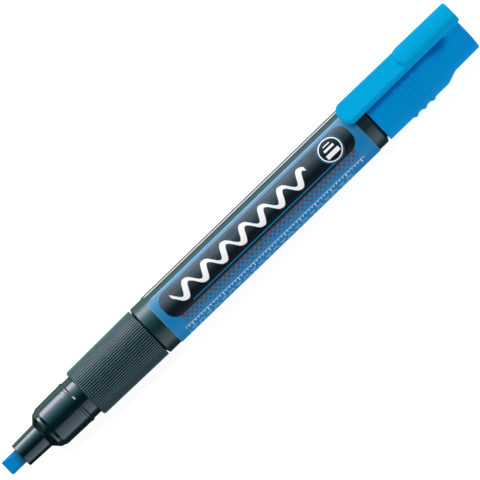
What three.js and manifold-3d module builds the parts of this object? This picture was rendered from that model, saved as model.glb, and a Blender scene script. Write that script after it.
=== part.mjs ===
import * as THREE from 'three';
import { mergeVertices } from 'three/addons/utils/BufferGeometryUtils.js';
import Module from 'manifold-3d';

// A chalk marker that lies level, with its cap pushed onto the tail and the clip straight up.
// Sizes are in millimetres. +X runs from the nib to the cap, and +Z is up.

// Fibre nib
const NIB_DIAMETER = 4.0;
const NIB_EDGE_THICKNESS = 0.9;
const NIB_BEVEL_LENGTH = 3.9;
const NIB_REACH = 4.5;
const NIB_TRAVEL = 1.5;
const NIB_TURN_DEG = 34;
const NIB_BORE_CLEARANCE = 0.15;

// Nose, from its narrow holder to the spigot inside the barrel
const HOLDER_LENGTH = 6.7;
const HOLDER_FRONT_DIAMETER = 6.2;
const HOLDER_REAR_DIAMETER = 6.7;
const HOLDER_EDGE = 0.25;
const CONE_LENGTH = 1.9;
const CONE_REAR_DIAMETER = 10.2;
const BAND_LENGTH = 1.2;
const NOSE_LENGTH = 8.2;
const NOSE_FRONT_DIAMETER = 11.2;
const NOSE_REAR_DIAMETER = 11.4;
const NOSE_WALL = 1.3;
const CHAMBER_LEAD = 0.3;
const RING_WIDTH = 0.7;
const RING_HEIGHT = 0.18;
const RING_SLOPE = 0.1;
const NECK_LENGTH = 2.2;
const NECK_DIAMETER = 11.2;
const SPIGOT_WALL = 0.9;
const SPIGOT_IN_BARREL = 5.35;

// Valve that the nib opens when it is pressed
const CASE_SETBACK = 0.4;
const CASE_WALL = 1.0;
const CASE_FRONT_WALL = 1.2;
const NIB_IN_CASE = 3.5;
const ROD_FLANGE_THICKNESS = 1.2;
const ROD_FLANGE_GAP = 0.6;
const ROD_DIAMETER = 2.4;
const ROD_HEAD_LENGTH = 1.5;
const ROD_HEAD_GAP = 0.7;
const ROD_TAIL_DIAMETER = 1.8;
const ROD_TAIL_REACH = 0.7;
const TRAVEL_MARGIN = 0.25;
const SEAT_WALL = 1.5;
const SEAT_HOLE_GAP = 0.5;
const PACKING_THICKNESS = 1.0;
const SPRING_LENGTH = 6.6;
const SPRING_TURNS = 6;
const SPRING_WIRE = 0.4;
const SPRING_GAP = 1.3;
const RETAINER_THICKNESS = 2.0;
const RETAINER_STEP = 0.3;
const RETAINER_LIP = 0.2;
const RETAINER_HOLE_GAP = 0.15;
const PORT_COUNT = 4;
const PORT_DIAMETER = 1.0;

// Ribbed grip
const GRIP_LENGTH = 20.85;
const GRIP_FRONT_DIAMETER = 13.2;
const GRIP_EDGE = 0.4;
const GRIP_GROOVE = 0.35;
const RIB_COUNT = 70;
const RIB_HEIGHT = 0.25;
const RIB_LAND = 0.45;
const RIB_FLANK = 0.15;

// Barrel, its label and its tail
const BARREL_LENGTH = 71.85;
const BARREL_DIAMETER = 13.8;
const BARREL_WALL = 1.0;
const BARREL_FRONT_EDGE = 0.6;
const BARREL_REAR_EDGE = 0.5;
const BARREL_NECK_MARGIN = 1.5;
const LABEL_THICKNESS = 0.14;
const LABEL_LIFT = 0.04;
const LABEL_FRONT_MARGIN = 3.75;
const LABEL_REAR_MARGIN = 3.2;
const LABEL_GAP_CENTRE_DEG = 23.8;
const LABEL_GAP_DEG = 14.5;
const PLUG_INSERT = 6.0;
const PLUG_FLANGE = 0.3;
const PLUG_FLANGE_DIAMETER = 12.6;
const PLUG_WALL = 1.2;
const POST_DIAMETER = 11.3;
const POST_SETBACK = 2.2;
const POST_EDGE = 0.5;
const BALL_DIAMETER = 6.0;
const BALL_GAP = 0.1;
const BALL_FROM_SPIGOT = 12.0;

// Cap and the soft inner cap that seals the nib
const CAP_WALL = 0.97;
const CAP_BEAD_COUNT = 3;
const CAP_BEAD_PITCH = 2.8;
const CAP_BEAD_BASE = 1.5;
const CAP_BEAD_CREST = 1.0;
const CAP_BEAD_HEIGHT = 0.45;
const CAP_BEAD_SETBACK = 7.45;
const CAP_FLANGE_TO_STEP = 2.8;
const CAP_STEP_LENGTH = 4.0;
const CAP_STEP_LEAD = 0.8;
const CAP_INNER_STEP_LENGTH = 3.0;
const CAP_NARROW_WALL = 1.07;
const CAP_NARROW_TAPER = 0.12;
const CAP_END_WALL = 1.7;
const CAP_END_FLAT_DIAMETER = 5.2;
const CAP_END_CROWN = 0.45;
const CAP_EDGE = 0.3;
const CAP_MOUTH_EDGE = 0.15;
const INNER_CAP_FLANGE = 1.2;
const INNER_CAP_WALL = 1.15;
const INNER_CAP_END = 1.0;
const INNER_CAP_NIB_ROOM = 2.1;

// Pocket clip
const CLIP_WIDTH = 6.25;
const CLIP_THICKNESS = 1.4;
const CLIP_BEAD_GAP = 0.63;
const CLIP_OVERHANG = 5.4;
const CLIP_TAIL = 0.6;
const CLIP_TIP_LENGTH = 3.4;
const CLIP_TIP_POWER = 2.3;
const CLIP_EDGE = 0.45;
const CLIP_HEEL = 0.7;
const CLIP_HEEL_RISE = 0.42;
const PAD_LENGTH = 17.7;
const PAD_HEIGHT = 1.2;
const PAD_NOSE = 1.1;
const PAD_NOSE_BOW = 1.2;
const PAD_CROWN_POWER = 2.4;
const WEB_LENGTH = 4.5;
const WEB_WIDTH = 5.0;
const WEB_FILLET = 1.4;
const WEB_CAP_GAP = 0.3;
const GRIPPER_LENGTH = 2.4;
const GRIPPER_WIDTH = 3.0;
const GRIPPER_SETBACK = 1.4;
const GRIPPER_LABEL_GAP = 0.35;

// Fits: the space across a push fit, a cap fit and two faces that meet
const FIT = 0.1;
const CAP_FIT = 0.07;
const SEAL_FIT = 0.1;
const SEAT = 0.05;

// Sides of a turned surface outside, in the cap's seal and inside the pen
const SIDES = 48;
const SEAL_SIDES = 32;
const INNER_SIDES = 24;

// Stations along the pen, measured from the writing edge
const holderFront = NIB_REACH;
const coneFront = holderFront + HOLDER_LENGTH;
const coneRear = coneFront + CONE_LENGTH;
const noseFront = coneRear + BAND_LENGTH;
const ringFront = noseFront + NOSE_LENGTH;
const ringRear = ringFront + RING_WIDTH;
const neckRear = ringRear + NECK_LENGTH;
const gripFront = neckRear + SEAT;
const gripRear = gripFront + GRIP_LENGTH;
const barrelFront = gripRear + GRIP_GROOVE;
const spigotRear = barrelFront + SPIGOT_IN_BARREL;
const barrelRear = barrelFront + BARREL_LENGTH;
const plugFront = barrelRear - PLUG_INSERT;
const flangeFront = barrelRear + SEAT;
const flangeRear = flangeFront + PLUG_FLANGE;
const capMouth = flangeRear + SEAT;

// The valve lies behind the nib bore
const chamberFront = noseFront + CHAMBER_LEAD;
const caseFront = chamberFront + CASE_SETBACK;
const nibRear = caseFront + NIB_IN_CASE;
const rodFront = nibRear + SEAT;
const rodFlangeRear = rodFront + ROD_FLANGE_THICKNESS;
const seatFront = rodFlangeRear + NIB_TRAVEL + TRAVEL_MARGIN;
const seatRear = seatFront + SEAT_WALL;
const packingFront = seatRear + SEAT;
const packingRear = packingFront + PACKING_THICKNESS;
const rodHeadFront = packingRear + SEAT;
const rodHeadRear = rodHeadFront + ROD_HEAD_LENGTH;
const springFront = rodHeadRear + SEAT;
const springRear = springFront + SPRING_LENGTH;
const retainerFront = springRear + SEAT;
const retainerRear = retainerFront + RETAINER_THICKNESS;
const caseRear = retainerRear + RETAINER_LIP;

// The cap is as deep as the nose that it covers when the pen is put away
const sealDepth = gripFront - coneFront + SEAT;
const sealFront = capMouth + sealDepth;
const sealFlangeRear = sealFront + INNER_CAP_FLANGE;
const sealEnd = sealFront + HOLDER_LENGTH + NIB_REACH + INNER_CAP_NIB_ROOM;
const innerCapRear = sealEnd + INNER_CAP_END;
const capStepFront = sealFlangeRear + CAP_FLANGE_TO_STEP;
const capBoreEnd = innerCapRear + FIT;
const capEnd = capBoreEnd + CAP_END_WALL;
const postRear = sealFront - POST_SETBACK;
const ringDepth = gripFront - ringRear;
const clipFront = capMouth - CLIP_OVERHANG;
const clipRear = capEnd + CLIP_TAIL;
const padFront = clipRear - PAD_LENGTH;

// Radii
const nibRadius = NIB_DIAMETER / 2;
const nibBore = nibRadius + NIB_BORE_CLEARANCE;
const noseRearRadius = NOSE_REAR_DIAMETER / 2;
const ringRadius = noseRearRadius + RING_HEIGHT;
const neckRadius = NECK_DIAMETER / 2;
const chamberRadius = NOSE_FRONT_DIAMETER / 2 - NOSE_WALL;
const spigotRadius = chamberRadius + SPIGOT_WALL;
const barrelRadius = BARREL_DIAMETER / 2;
const tankRadius = barrelRadius - BARREL_WALL;
const labelInner = barrelRadius + LABEL_LIFT;
const labelOuter = labelInner + LABEL_THICKNESS;
const capBore = ringRadius + CAP_FIT;
const capRadius = capBore + CAP_WALL;
const beadRadius = capRadius + CAP_BEAD_HEIGHT;
const sealBore = HOLDER_REAR_DIAMETER / 2 + SEAL_FIT;
const innerCapRadius = sealBore + INNER_CAP_WALL;
const capNarrowBore = innerCapRadius + FIT;
const capNarrowRadius = capNarrowBore + CAP_NARROW_WALL;
const capEndRadius = capNarrowRadius - CAP_NARROW_TAPER;
const clipInner = Math.max(beadRadius, labelOuter) + CLIP_BEAD_GAP;
const clipOuter = clipInner + CLIP_THICKNESS;
const caseRadius = chamberRadius - FIT;
const rodRadius = ROD_DIAMETER / 2;
const caseFrontBore = caseRadius - CASE_FRONT_WALL;
const caseRearBore = caseRadius - CASE_WALL;
const seatHole = rodRadius + SEAT_HOLE_GAP;
const retainerBore = caseRearBore + RETAINER_STEP;

const wasm = await Module();
wasm.setup();

// Drops the normals, joins equal points and leaves out triangles that have shrunk to a line.
function closed(geometry) {
  geometry.deleteAttribute('normal');
  geometry.deleteAttribute('uv');
  const merged = mergeVertices(geometry, 1e-5);
  const kept = [];
  const index = merged.index.array;
  for (let i = 0; i < index.length; i += 3) {
    const [a, b, c] = [index[i], index[i + 1], index[i + 2]];
    if (a !== b && b !== c && c !== a) {
      kept.push(a, b, c);
    }
  }
  merged.setIndex(kept);
  return merged;
}

// A closed surface as a solid that can be cut and joined.
function toSolid(geometry) {
  const mesh = closed(geometry);
  return new wasm.Manifold(new wasm.Mesh({
    numProp: 3,
    vertProperties: new Float32Array(mesh.attributes.position.array),
    triVerts: new Uint32Array(mesh.index.array),
  }));
}

function toGeometry(solid) {
  const mesh = solid.getMesh();
  const geometry = new THREE.BufferGeometry();
  geometry.setAttribute('position', new THREE.BufferAttribute(mesh.vertProperties, 3));
  geometry.setIndex(new THREE.BufferAttribute(mesh.triVerts, 1));
  return geometry;
}

// A profile of [station, radius] pairs, front to rear outside and back inside, turned about X.
// The first side starts half a step round, so a flat lies at the top and at the bottom.
function turned(profile, sides = SIDES) {
  const points = profile.map(([station, radius]) => new THREE.Vector2(radius, station));
  points.push(points[0].clone());
  const lathe = new THREE.LatheGeometry(points, sides, Math.PI / sides);
  lathe.rotateZ(-Math.PI / 2);
  return closed(lathe);
}

// A quarter round where a turned surface starts at the front.
function frontRound(station, radius, size) {
  return [0, Math.PI / 4, Math.PI / 2].map((angle) => [
    station + size * (1 - Math.cos(angle)),
    radius - size * (1 - Math.sin(angle)),
  ]);
}

// A quarter round where a turned surface ends at the rear.
function rearRound(station, radius, size) {
  return [Math.PI / 2, Math.PI / 4, 0].map((angle) => [
    station - size * (1 - Math.cos(angle)),
    radius - size * (1 - Math.sin(angle)),
  ]);
}

// Rings of equal count, joined in order and closed with a fan at each end.
function lofted(rings) {
  const count = rings[0].length;
  const points = rings.flat();
  const faces = [];
  for (let r = 0; r + 1 < rings.length; r++) {
    for (let i = 0; i < count; i++) {
      const next = (i + 1) % count;
      const [a, b] = [r * count + i, r * count + next];
      const [c, d] = [a + count, b + count];
      faces.push(a, b, c, b, d, c);
    }
  }
  for (const [ring, start] of [[rings[0], 0], [rings.at(-1), points.length - count]]) {
    const middle = new THREE.Vector3();
    ring.forEach((point) => middle.add(point));
    points.push(middle.divideScalar(count));
    const hub = points.length - 1;
    for (let i = 0; i < count; i++) {
      const [a, b] = [start + i, start + (i + 1) % count];
      faces.push(...(start === 0 ? [hub, b, a] : [hub, a, b]));
    }
  }
  const geometry = new THREE.BufferGeometry().setFromPoints(points);
  geometry.setIndex(faces);
  return geometry;
}

// An outline drawn along and up the pen, extruded across it and centred on its axis.
function acrossPen(shape, width, curveSegments = 6) {
  const geometry = new THREE.ExtrudeGeometry(shape, { depth: width, bevelEnabled: false, curveSegments });
  geometry.rotateX(Math.PI / 2);
  geometry.translate(0, width / 2, 0);
  return geometry;
}

// An outline drawn in the cross-section, extruded along the pen from one station to another.
function alongPen(shape, front, rear, curveSegments) {
  const geometry = new THREE.ExtrudeGeometry(shape, {
    depth: rear - front,
    bevelEnabled: false,
    curveSegments,
  });
  geometry.rotateY(Math.PI / 2);
  geometry.translate(front, 0, 0);
  return geometry;
}

// Eases from 0 to 1, level at both ends.
function eased(t) {
  const x = Math.min(Math.max(t, 0), 1);
  return x * x * (3 - 2 * x);
}

// How far a round edge has fallen at a distance from the side that it rounds.
function edgeDrop(fromSide, size) {
  const across = Math.min(Math.max(1 - fromSide / size, 0), 1);
  return size * (1 - Math.sqrt(1 - across * across));
}

// The rod of fibre, with two bevels that meet at the writing edge.
function nib() {
  const rod = turned([[0, 0], [0, nibRadius], [nibRear, nibRadius], [nibRear, 0]], INNER_SIDES);
  const half = NIB_EDGE_THICKNESS / 2;
  const rise = nibRadius + SEAT;
  const wedge = new THREE.Shape();
  wedge.moveTo(-SEAT, -half);
  wedge.lineTo(NIB_BEVEL_LENGTH, -rise);
  wedge.lineTo(nibRear + SEAT, -rise);
  wedge.lineTo(nibRear + SEAT, rise);
  wedge.lineTo(NIB_BEVEL_LENGTH, rise);
  wedge.lineTo(-SEAT, half);
  return toGeometry(toSolid(rod).intersect(toSolid(acrossPen(wedge, NIB_DIAMETER + 1))));
}

// Holder, cone, snap ring and neck outside; nib bore, valve chamber and spigot inside.
function noseCone() {
  return turned([
    ...frontRound(holderFront, HOLDER_FRONT_DIAMETER / 2, HOLDER_EDGE),
    [coneFront, HOLDER_REAR_DIAMETER / 2],
    [coneRear, CONE_REAR_DIAMETER / 2],
    [noseFront, NOSE_FRONT_DIAMETER / 2],
    [ringFront, noseRearRadius],
    [ringFront + RING_SLOPE, ringRadius],
    [ringRear - RING_SLOPE, ringRadius],
    [ringRear, neckRadius],
    [neckRear, neckRadius],
    [neckRear, spigotRadius],
    [spigotRear, spigotRadius],
    [spigotRear, chamberRadius],
    [chamberFront, chamberRadius],
    [coneRear, nibBore],
    [holderFront, nibBore],
  ]);
}

// One ring of the ribbed surface: each rib has a land, two flanks and a groove.
function ribbedRing(station, radius, ribHeight) {
  const ring = [];
  for (let rib = 0; rib < RIB_COUNT; rib++) {
    const corners = [
      [0, radius],
      [RIB_LAND, radius],
      [RIB_LAND + RIB_FLANK, radius - ribHeight],
      [1 - RIB_FLANK, radius - ribHeight],
    ];
    for (const [share, r] of corners) {
      const angle = -((rib + share) / RIB_COUNT) * 2 * Math.PI;
      ring.push(new THREE.Vector3(station, r * Math.sin(angle), r * Math.cos(angle)));
    }
  }
  return ring;
}

function gripSleeve() {
  const frontRadius = GRIP_FRONT_DIAMETER / 2;
  const bore = spigotRadius + FIT;
  const outside = lofted([
    ribbedRing(gripFront, frontRadius - GRIP_EDGE, RIB_HEIGHT / 2),
    ribbedRing(gripFront + GRIP_EDGE, frontRadius, RIB_HEIGHT),
    ribbedRing(gripRear, barrelRadius, RIB_HEIGHT),
  ]);
  const hole = turned([
    [gripFront - 1, 0],
    [gripFront - 1, bore],
    [gripRear + 1, bore],
    [gripRear + 1, 0],
  ]);
  return toGeometry(toSolid(outside).subtract(toSolid(hole)));
}

// The sleeve that holds the valve: a front pocket for the nib, a seat wall and a rear pocket.
function valveCase() {
  return turned([
    [caseFront, caseRadius],
    [caseRear, caseRadius],
    [caseRear, retainerBore],
    [springRear, retainerBore],
    [springRear, caseRearBore],
    [seatRear, caseRearBore],
    [seatRear, seatHole],
    [seatFront, seatHole],
    [seatFront, caseFrontBore],
    [caseFront, caseFrontBore],
  ], INNER_SIDES);
}

function valvePacking() {
  const outer = caseRearBore - FIT;
  const inner = seatHole + SEAT;
  return turned([
    [packingFront, outer],
    [packingRear, outer],
    [packingRear, inner],
    [packingFront, inner],
  ], INNER_SIDES);
}

// The rod that the nib pushes back: flange, shank, sealing head and guided tail.
function valveRod() {
  const flange = caseFrontBore - ROD_FLANGE_GAP;
  const head = caseRearBore - ROD_HEAD_GAP;
  const tail = ROD_TAIL_DIAMETER / 2;
  const tailRear = retainerRear + ROD_TAIL_REACH;
  return turned([
    [rodFront, 0],
    [rodFront, flange],
    [rodFlangeRear, flange],
    [rodFlangeRear, rodRadius],
    [rodHeadFront, rodRadius],
    [rodHeadFront, head],
    [rodHeadRear, head],
    [rodHeadRear, tail],
    [tailRear, tail],
    [tailRear, 0],
  ], INNER_SIDES);
}

// A helix of round wire, eight steps to a turn and five sides to the wire.
function valveSpring() {
  const wire = SPRING_WIRE / 2;
  const radius = caseRearBore - SPRING_GAP - wire;
  const pitch = (SPRING_LENGTH - SPRING_WIRE) / SPRING_TURNS;
  const stepsPerTurn = 8;
  const wireSides = 5;
  const rings = [];
  for (let step = 0; step <= SPRING_TURNS * stepsPerTurn; step++) {
    const turn = step / stepsPerTurn;
    const angle = turn * 2 * Math.PI;
    const outward = new THREE.Vector3(0, Math.cos(angle), Math.sin(angle));
    const forward = new THREE.Vector3(pitch / (2 * Math.PI), -radius * Math.sin(angle), radius * Math.cos(angle));
    const sideways = new THREE.Vector3().crossVectors(forward.normalize(), outward);
    const centre = outward.clone().multiplyScalar(radius);
    centre.x = springFront + wire + pitch * turn;
    const ring = [];
    for (let side = 0; side < wireSides; side++) {
      const around = (side / wireSides) * 2 * Math.PI;
      ring.push(centre.clone()
        .addScaledVector(outward, wire * Math.cos(around))
        .addScaledVector(sideways, wire * Math.sin(around)));
    }
    rings.push(ring);
  }
  return lofted(rings);
}

// The disc that closes the valve case, with a guide hole and ports for the ink.
function valveRetainer() {
  const outer = retainerBore - SEAT;
  const hole = ROD_TAIL_DIAMETER / 2 + RETAINER_HOLE_GAP;
  const portCircle = (outer + hole) / 2;
  const disc = new THREE.Shape();
  disc.absarc(0, 0, outer, 0, 2 * Math.PI);
  disc.holes.push(new THREE.Path().absarc(0, 0, hole, 0, 2 * Math.PI, true));
  for (let port = 0; port < PORT_COUNT; port++) {
    const angle = (port / PORT_COUNT) * 2 * Math.PI;
    const [x, y] = [portCircle * Math.cos(angle), portCircle * Math.sin(angle)];
    disc.holes.push(new THREE.Path().absarc(x, y, PORT_DIAMETER / 2, 0, 2 * Math.PI, true));
  }
  return closed(alongPen(disc, retainerFront, retainerRear, 12));
}

function barrel() {
  const neckBore = spigotRadius + FIT;
  const neckRearInside = spigotRear + BARREL_NECK_MARGIN;
  return turned([
    ...frontRound(barrelFront, barrelRadius, BARREL_FRONT_EDGE),
    ...rearRound(barrelRear, barrelRadius, BARREL_REAR_EDGE),
    [barrelRear, tankRadius],
    [neckRearInside, tankRadius],
    [neckRearInside, neckBore],
    [barrelFront, neckBore],
  ]);
}

// A film wrapped round the barrel, with a bare strip where its ends don't meet.
function label() {
  const half = THREE.MathUtils.degToRad(LABEL_GAP_DEG / 2);
  const centre = Math.PI - THREE.MathUtils.degToRad(LABEL_GAP_CENTRE_DEG);
  const [start, end] = [centre + half, centre - half + 2 * Math.PI];
  const film = new THREE.Shape();
  film.absarc(0, 0, labelOuter, start, end, false);
  film.absarc(0, 0, labelInner, end, start, true);
  return closed(alongPen(film, barrelFront + LABEL_FRONT_MARGIN, barrelRear - LABEL_REAR_MARGIN, SIDES));
}

// The plug that closes the tank, with the post and snap ring that hold the cap.
function tailPlug() {
  const insert = tankRadius - FIT;
  const post = POST_DIAMETER / 2;
  const bore = post - PLUG_WALL;
  const ringStart = capMouth + ringDepth;
  return turned([
    [plugFront, insert],
    [flangeFront, insert],
    [flangeFront, PLUG_FLANGE_DIAMETER / 2],
    [flangeRear, PLUG_FLANGE_DIAMETER / 2],
    [flangeRear, post],
    [ringStart, post],
    [ringStart + RING_SLOPE, ringRadius],
    [ringStart + RING_WIDTH - RING_SLOPE, ringRadius],
    [ringStart + RING_WIDTH, post],
    ...rearRound(postRear, post, POST_EDGE),
    [postRear, 0],
    [postRear - PLUG_WALL, 0],
    [postRear - PLUG_WALL, bore],
    [plugFront, bore],
  ]);
}

// The ball that stirs the ink lies at the bottom of the tank.
function mixingBall() {
  const radius = BALL_DIAMETER / 2;
  const ball = new THREE.SphereGeometry(radius, 16, 10);
  const floor = tankRadius * Math.cos(Math.PI / SIDES);
  ball.translate(spigotRear + BALL_FROM_SPIGOT, 0, radius + BALL_GAP - floor);
  return closed(ball);
}

// Wide mouth, three grip beads, an eased step and a narrow crowned end.
function capShell() {
  const outside = frontRound(capMouth, capRadius, CAP_MOUTH_EDGE);
  for (let bead = 0; bead < CAP_BEAD_COUNT; bead++) {
    const start = capMouth + CAP_BEAD_SETBACK + bead * CAP_BEAD_PITCH;
    const flank = (CAP_BEAD_BASE - CAP_BEAD_CREST) / 2;
    outside.push([start, capRadius]);
    outside.push([start + flank, beadRadius]);
    outside.push([start + flank + CAP_BEAD_CREST, beadRadius]);
    outside.push([start + CAP_BEAD_BASE, capRadius]);
  }
  for (const t of [0, 0.2, 0.4, 0.6, 0.8, 1]) {
    const radius = capRadius + (capNarrowRadius - capRadius) * eased(t);
    outside.push([capStepFront + t * CAP_STEP_LENGTH, radius]);
  }
  outside.push(...rearRound(capEnd - CAP_END_CROWN, capEndRadius, CAP_EDGE));
  const flat = CAP_END_FLAT_DIAMETER / 2;
  const crownWidth = capEndRadius - CAP_EDGE - flat;
  for (const t of [0.5, 0]) {
    outside.push([capEnd - CAP_END_CROWN * t * t, flat + crownWidth * t]);
  }
  const innerStepFront = capStepFront - CAP_STEP_LEAD;
  return turned([
    ...outside,
    [capEnd, 0],
    [capBoreEnd, 0],
    [capBoreEnd, capNarrowBore],
    [innerStepFront + CAP_INNER_STEP_LENGTH, capNarrowBore],
    [innerStepFront, capBore],
    [capMouth, capBore],
  ]);
}

// The soft cup inside the cap that closes over the nib and its holder.
function innerCap() {
  const flange = capBore - FIT;
  return turned([
    [sealFront, flange],
    [sealFlangeRear, flange],
    [sealFlangeRear, innerCapRadius],
    [innerCapRear, innerCapRadius],
    [innerCapRear, 0],
    [sealEnd, 0],
    [sealEnd, sealBore],
    [sealFront, sealBore],
  ], SEAL_SIDES);
}

// Half the clip's width at a station: a full round tip, straight sides and small rear corners.
function clipHalfWidth(station) {
  const t = Math.min((station - clipFront) / CLIP_TIP_LENGTH, 1);
  const tip = (1 - (1 - t) ** CLIP_TIP_POWER) ** (1 / CLIP_TIP_POWER);
  return (CLIP_WIDTH / 2) * tip - edgeDrop(clipRear - station, CLIP_EDGE);
}

// The raised thumb pad: a blunt bowed nose, then a crown that dies out at the clip's sides.
function padHeight(station, share) {
  const nose = (station - padFront - PAD_NOSE_BOW * share * share) / PAD_NOSE;
  const rise = Math.min(Math.max(nose, 0), 1);
  const crown = Math.sqrt(Math.max(1 - Math.abs(share) ** PAD_CROWN_POWER, 0));
  return PAD_HEIGHT * Math.sqrt(1 - (1 - rise) ** 2) * crown;
}

// The blade of the clip: a grid of rows along it, with a top, an underside and sides.
function clipBlade() {
  const tipRows = [0, 0.06, 0.16, 0.32, 0.55, 0.78, 1];
  const padRows = [-0.2, 0.25, 0.6, 1, 1.5, 2.1, 3];
  const stations = [
    ...tipRows.map((t) => clipFront + t * CLIP_TIP_LENGTH),
    (clipFront + CLIP_TIP_LENGTH + padFront) / 2,
    ...padRows.map((t) => padFront + t * PAD_NOSE),
    (padFront + clipRear) / 2,
    clipRear - CLIP_HEEL,
    clipRear - CLIP_EDGE,
    clipRear - CLIP_EDGE / 3,
    clipRear,
  ];
  const shares = [-1, -0.94, -0.82, -0.6, -0.3, 0, 0.3, 0.6, 0.82, 0.94, 1];
  const top = (station, share) => {
    const half = Math.max(clipHalfWidth(station), 0);
    const fromSide = half * (1 - Math.abs(share));
    const side = edgeDrop(fromSide, CLIP_EDGE);
    const heel = edgeDrop(clipRear - station, CLIP_EDGE);
    const front = edgeDrop(station - clipFront, CLIP_EDGE);
    return clipOuter + padHeight(station, share) - Math.max(side, heel, front);
  };
  const heelShare = (station) => Math.max(1 - (clipRear - station) / CLIP_HEEL, 0);
  const under = (station) => clipInner + CLIP_HEEL_RISE * heelShare(station);
  const rings = stations.map((station) => {
    const half = Math.max(clipHalfWidth(station), 0);
    const upper = shares.map((share) => new THREE.Vector3(station, half * share, top(station, share)));
    const lower = shares.map((share) => new THREE.Vector3(station, -half * share, under(station)));
    return [...upper, ...lower].reverse();
  });
  return lofted(rings);
}

// The web at the root that carries the blade, hollowed where it leaves the blade.
function clipWeb() {
  const front = capEnd - WEB_LENGTH;
  const rear = capEnd;
  const top = clipInner + CLIP_THICKNESS / 2;
  const web = new THREE.Shape();
  web.moveTo(front, 0);
  web.lineTo(rear, 0);
  web.lineTo(rear, top);
  web.lineTo(front - WEB_FILLET, top);
  web.lineTo(front - WEB_FILLET, clipInner);
  web.quadraticCurveTo(front, clipInner, front, clipInner - WEB_FILLET);
  return acrossPen(web, WEB_WIDTH);
}

// The bump under the free end that bears on cloth or paper.
function clipGripper() {
  const front = clipFront + GRIPPER_SETBACK;
  const rear = front + GRIPPER_LENGTH;
  const low = labelOuter + GRIPPER_LABEL_GAP;
  const top = clipInner + CLIP_THICKNESS / 2;
  const bump = new THREE.Shape();
  bump.moveTo(front, top);
  bump.lineTo(front, clipInner);
  bump.quadraticCurveTo((front + rear) / 2, 2 * low - clipInner, rear, clipInner);
  bump.lineTo(rear, top);
  return acrossPen(bump, GRIPPER_WIDTH);
}

function capClip() {
  const keepOut = turned([
    [capStepFront, 0],
    [capStepFront, capNarrowRadius + WEB_CAP_GAP],
    [clipRear, capNarrowRadius + WEB_CAP_GAP],
    [clipRear, 0],
  ]);
  const clip = toSolid(clipBlade()).add(toSolid(clipWeb())).add(toSolid(clipGripper()));
  return toGeometry(clip.subtract(toSolid(keepOut)));
}

function finish(color, roughness, metalness = 0) {
  return new THREE.MeshStandardMaterial({ color, roughness, metalness });
}

const fibre = finish(0x0a78be, 0.95);
const glossBlack = finish(0x141f1f, 0.12);
const gripPlastic = finish(0x2c3b3a, 0.55);
const barrelPlastic = finish(0x24302f, 0.35);
const labelFilm = finish(0x2f86c8, 0.3);
const whitePlastic = finish(0xe6e7e2, 0.45);
const rubber = finish(0x1c1c1c, 0.85);
const steel = finish(0xc4c7ca, 0.25, 1);
const capPlastic = finish(0x0484cd, 0.4);
const clipPlastic = finish(0x10a3e0, 0.4);
const sealPlastic = finish(0xdfe7ea, 0.5);

const pen = new THREE.Group();

function addPart(name, geometry, material) {
  const mesh = new THREE.Mesh(geometry, material);
  mesh.name = name;
  pen.add(mesh);
  return mesh;
}

addPart('nib', nib(), fibre).rotation.x = THREE.MathUtils.degToRad(NIB_TURN_DEG);
addPart('nose_cone', noseCone(), glossBlack);
addPart('grip_sleeve', gripSleeve(), gripPlastic);
addPart('valve_case', valveCase(), whitePlastic);
addPart('valve_packing', valvePacking(), rubber);
addPart('valve_rod', valveRod(), whitePlastic);
addPart('valve_spring', valveSpring(), steel);
addPart('valve_retainer', valveRetainer(), whitePlastic);
addPart('barrel', barrel(), barrelPlastic);
addPart('label', label(), labelFilm);
addPart('tail_plug', tailPlug(), barrelPlastic);
addPart('mixing_ball', mixingBall(), steel);
addPart('cap_shell', capShell(), capPlastic);
addPart('inner_cap', innerCap(), sealPlastic);
addPart('cap_clip', capClip(), clipPlastic);

// The origin lies under the middle of the pen, on the surface that its lowest flat rests on.
pen.position.set(-clipRear / 2, 0, beadRadius * Math.cos(Math.PI / SIDES));

export default pen;
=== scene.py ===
# %% [markdown]
# # A chalk marker, piece by piece
# This lesson rebuilds a wet-erase chalk marker that lies on a pale table, cap on its tail and clip
# straight up. A CAD model already fixes every size and place. Here each piece is made again with the
# rounds, ribs and print that the eye looks for, and it takes its place from the CAD node it stands for.
# Lengths are in millimetres until a point is made, because a pen is a thing of tenths of a millimetre.

# %% Load the frame
import math

import bmesh
import bpy
from mathutils import Matrix, Vector


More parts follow.
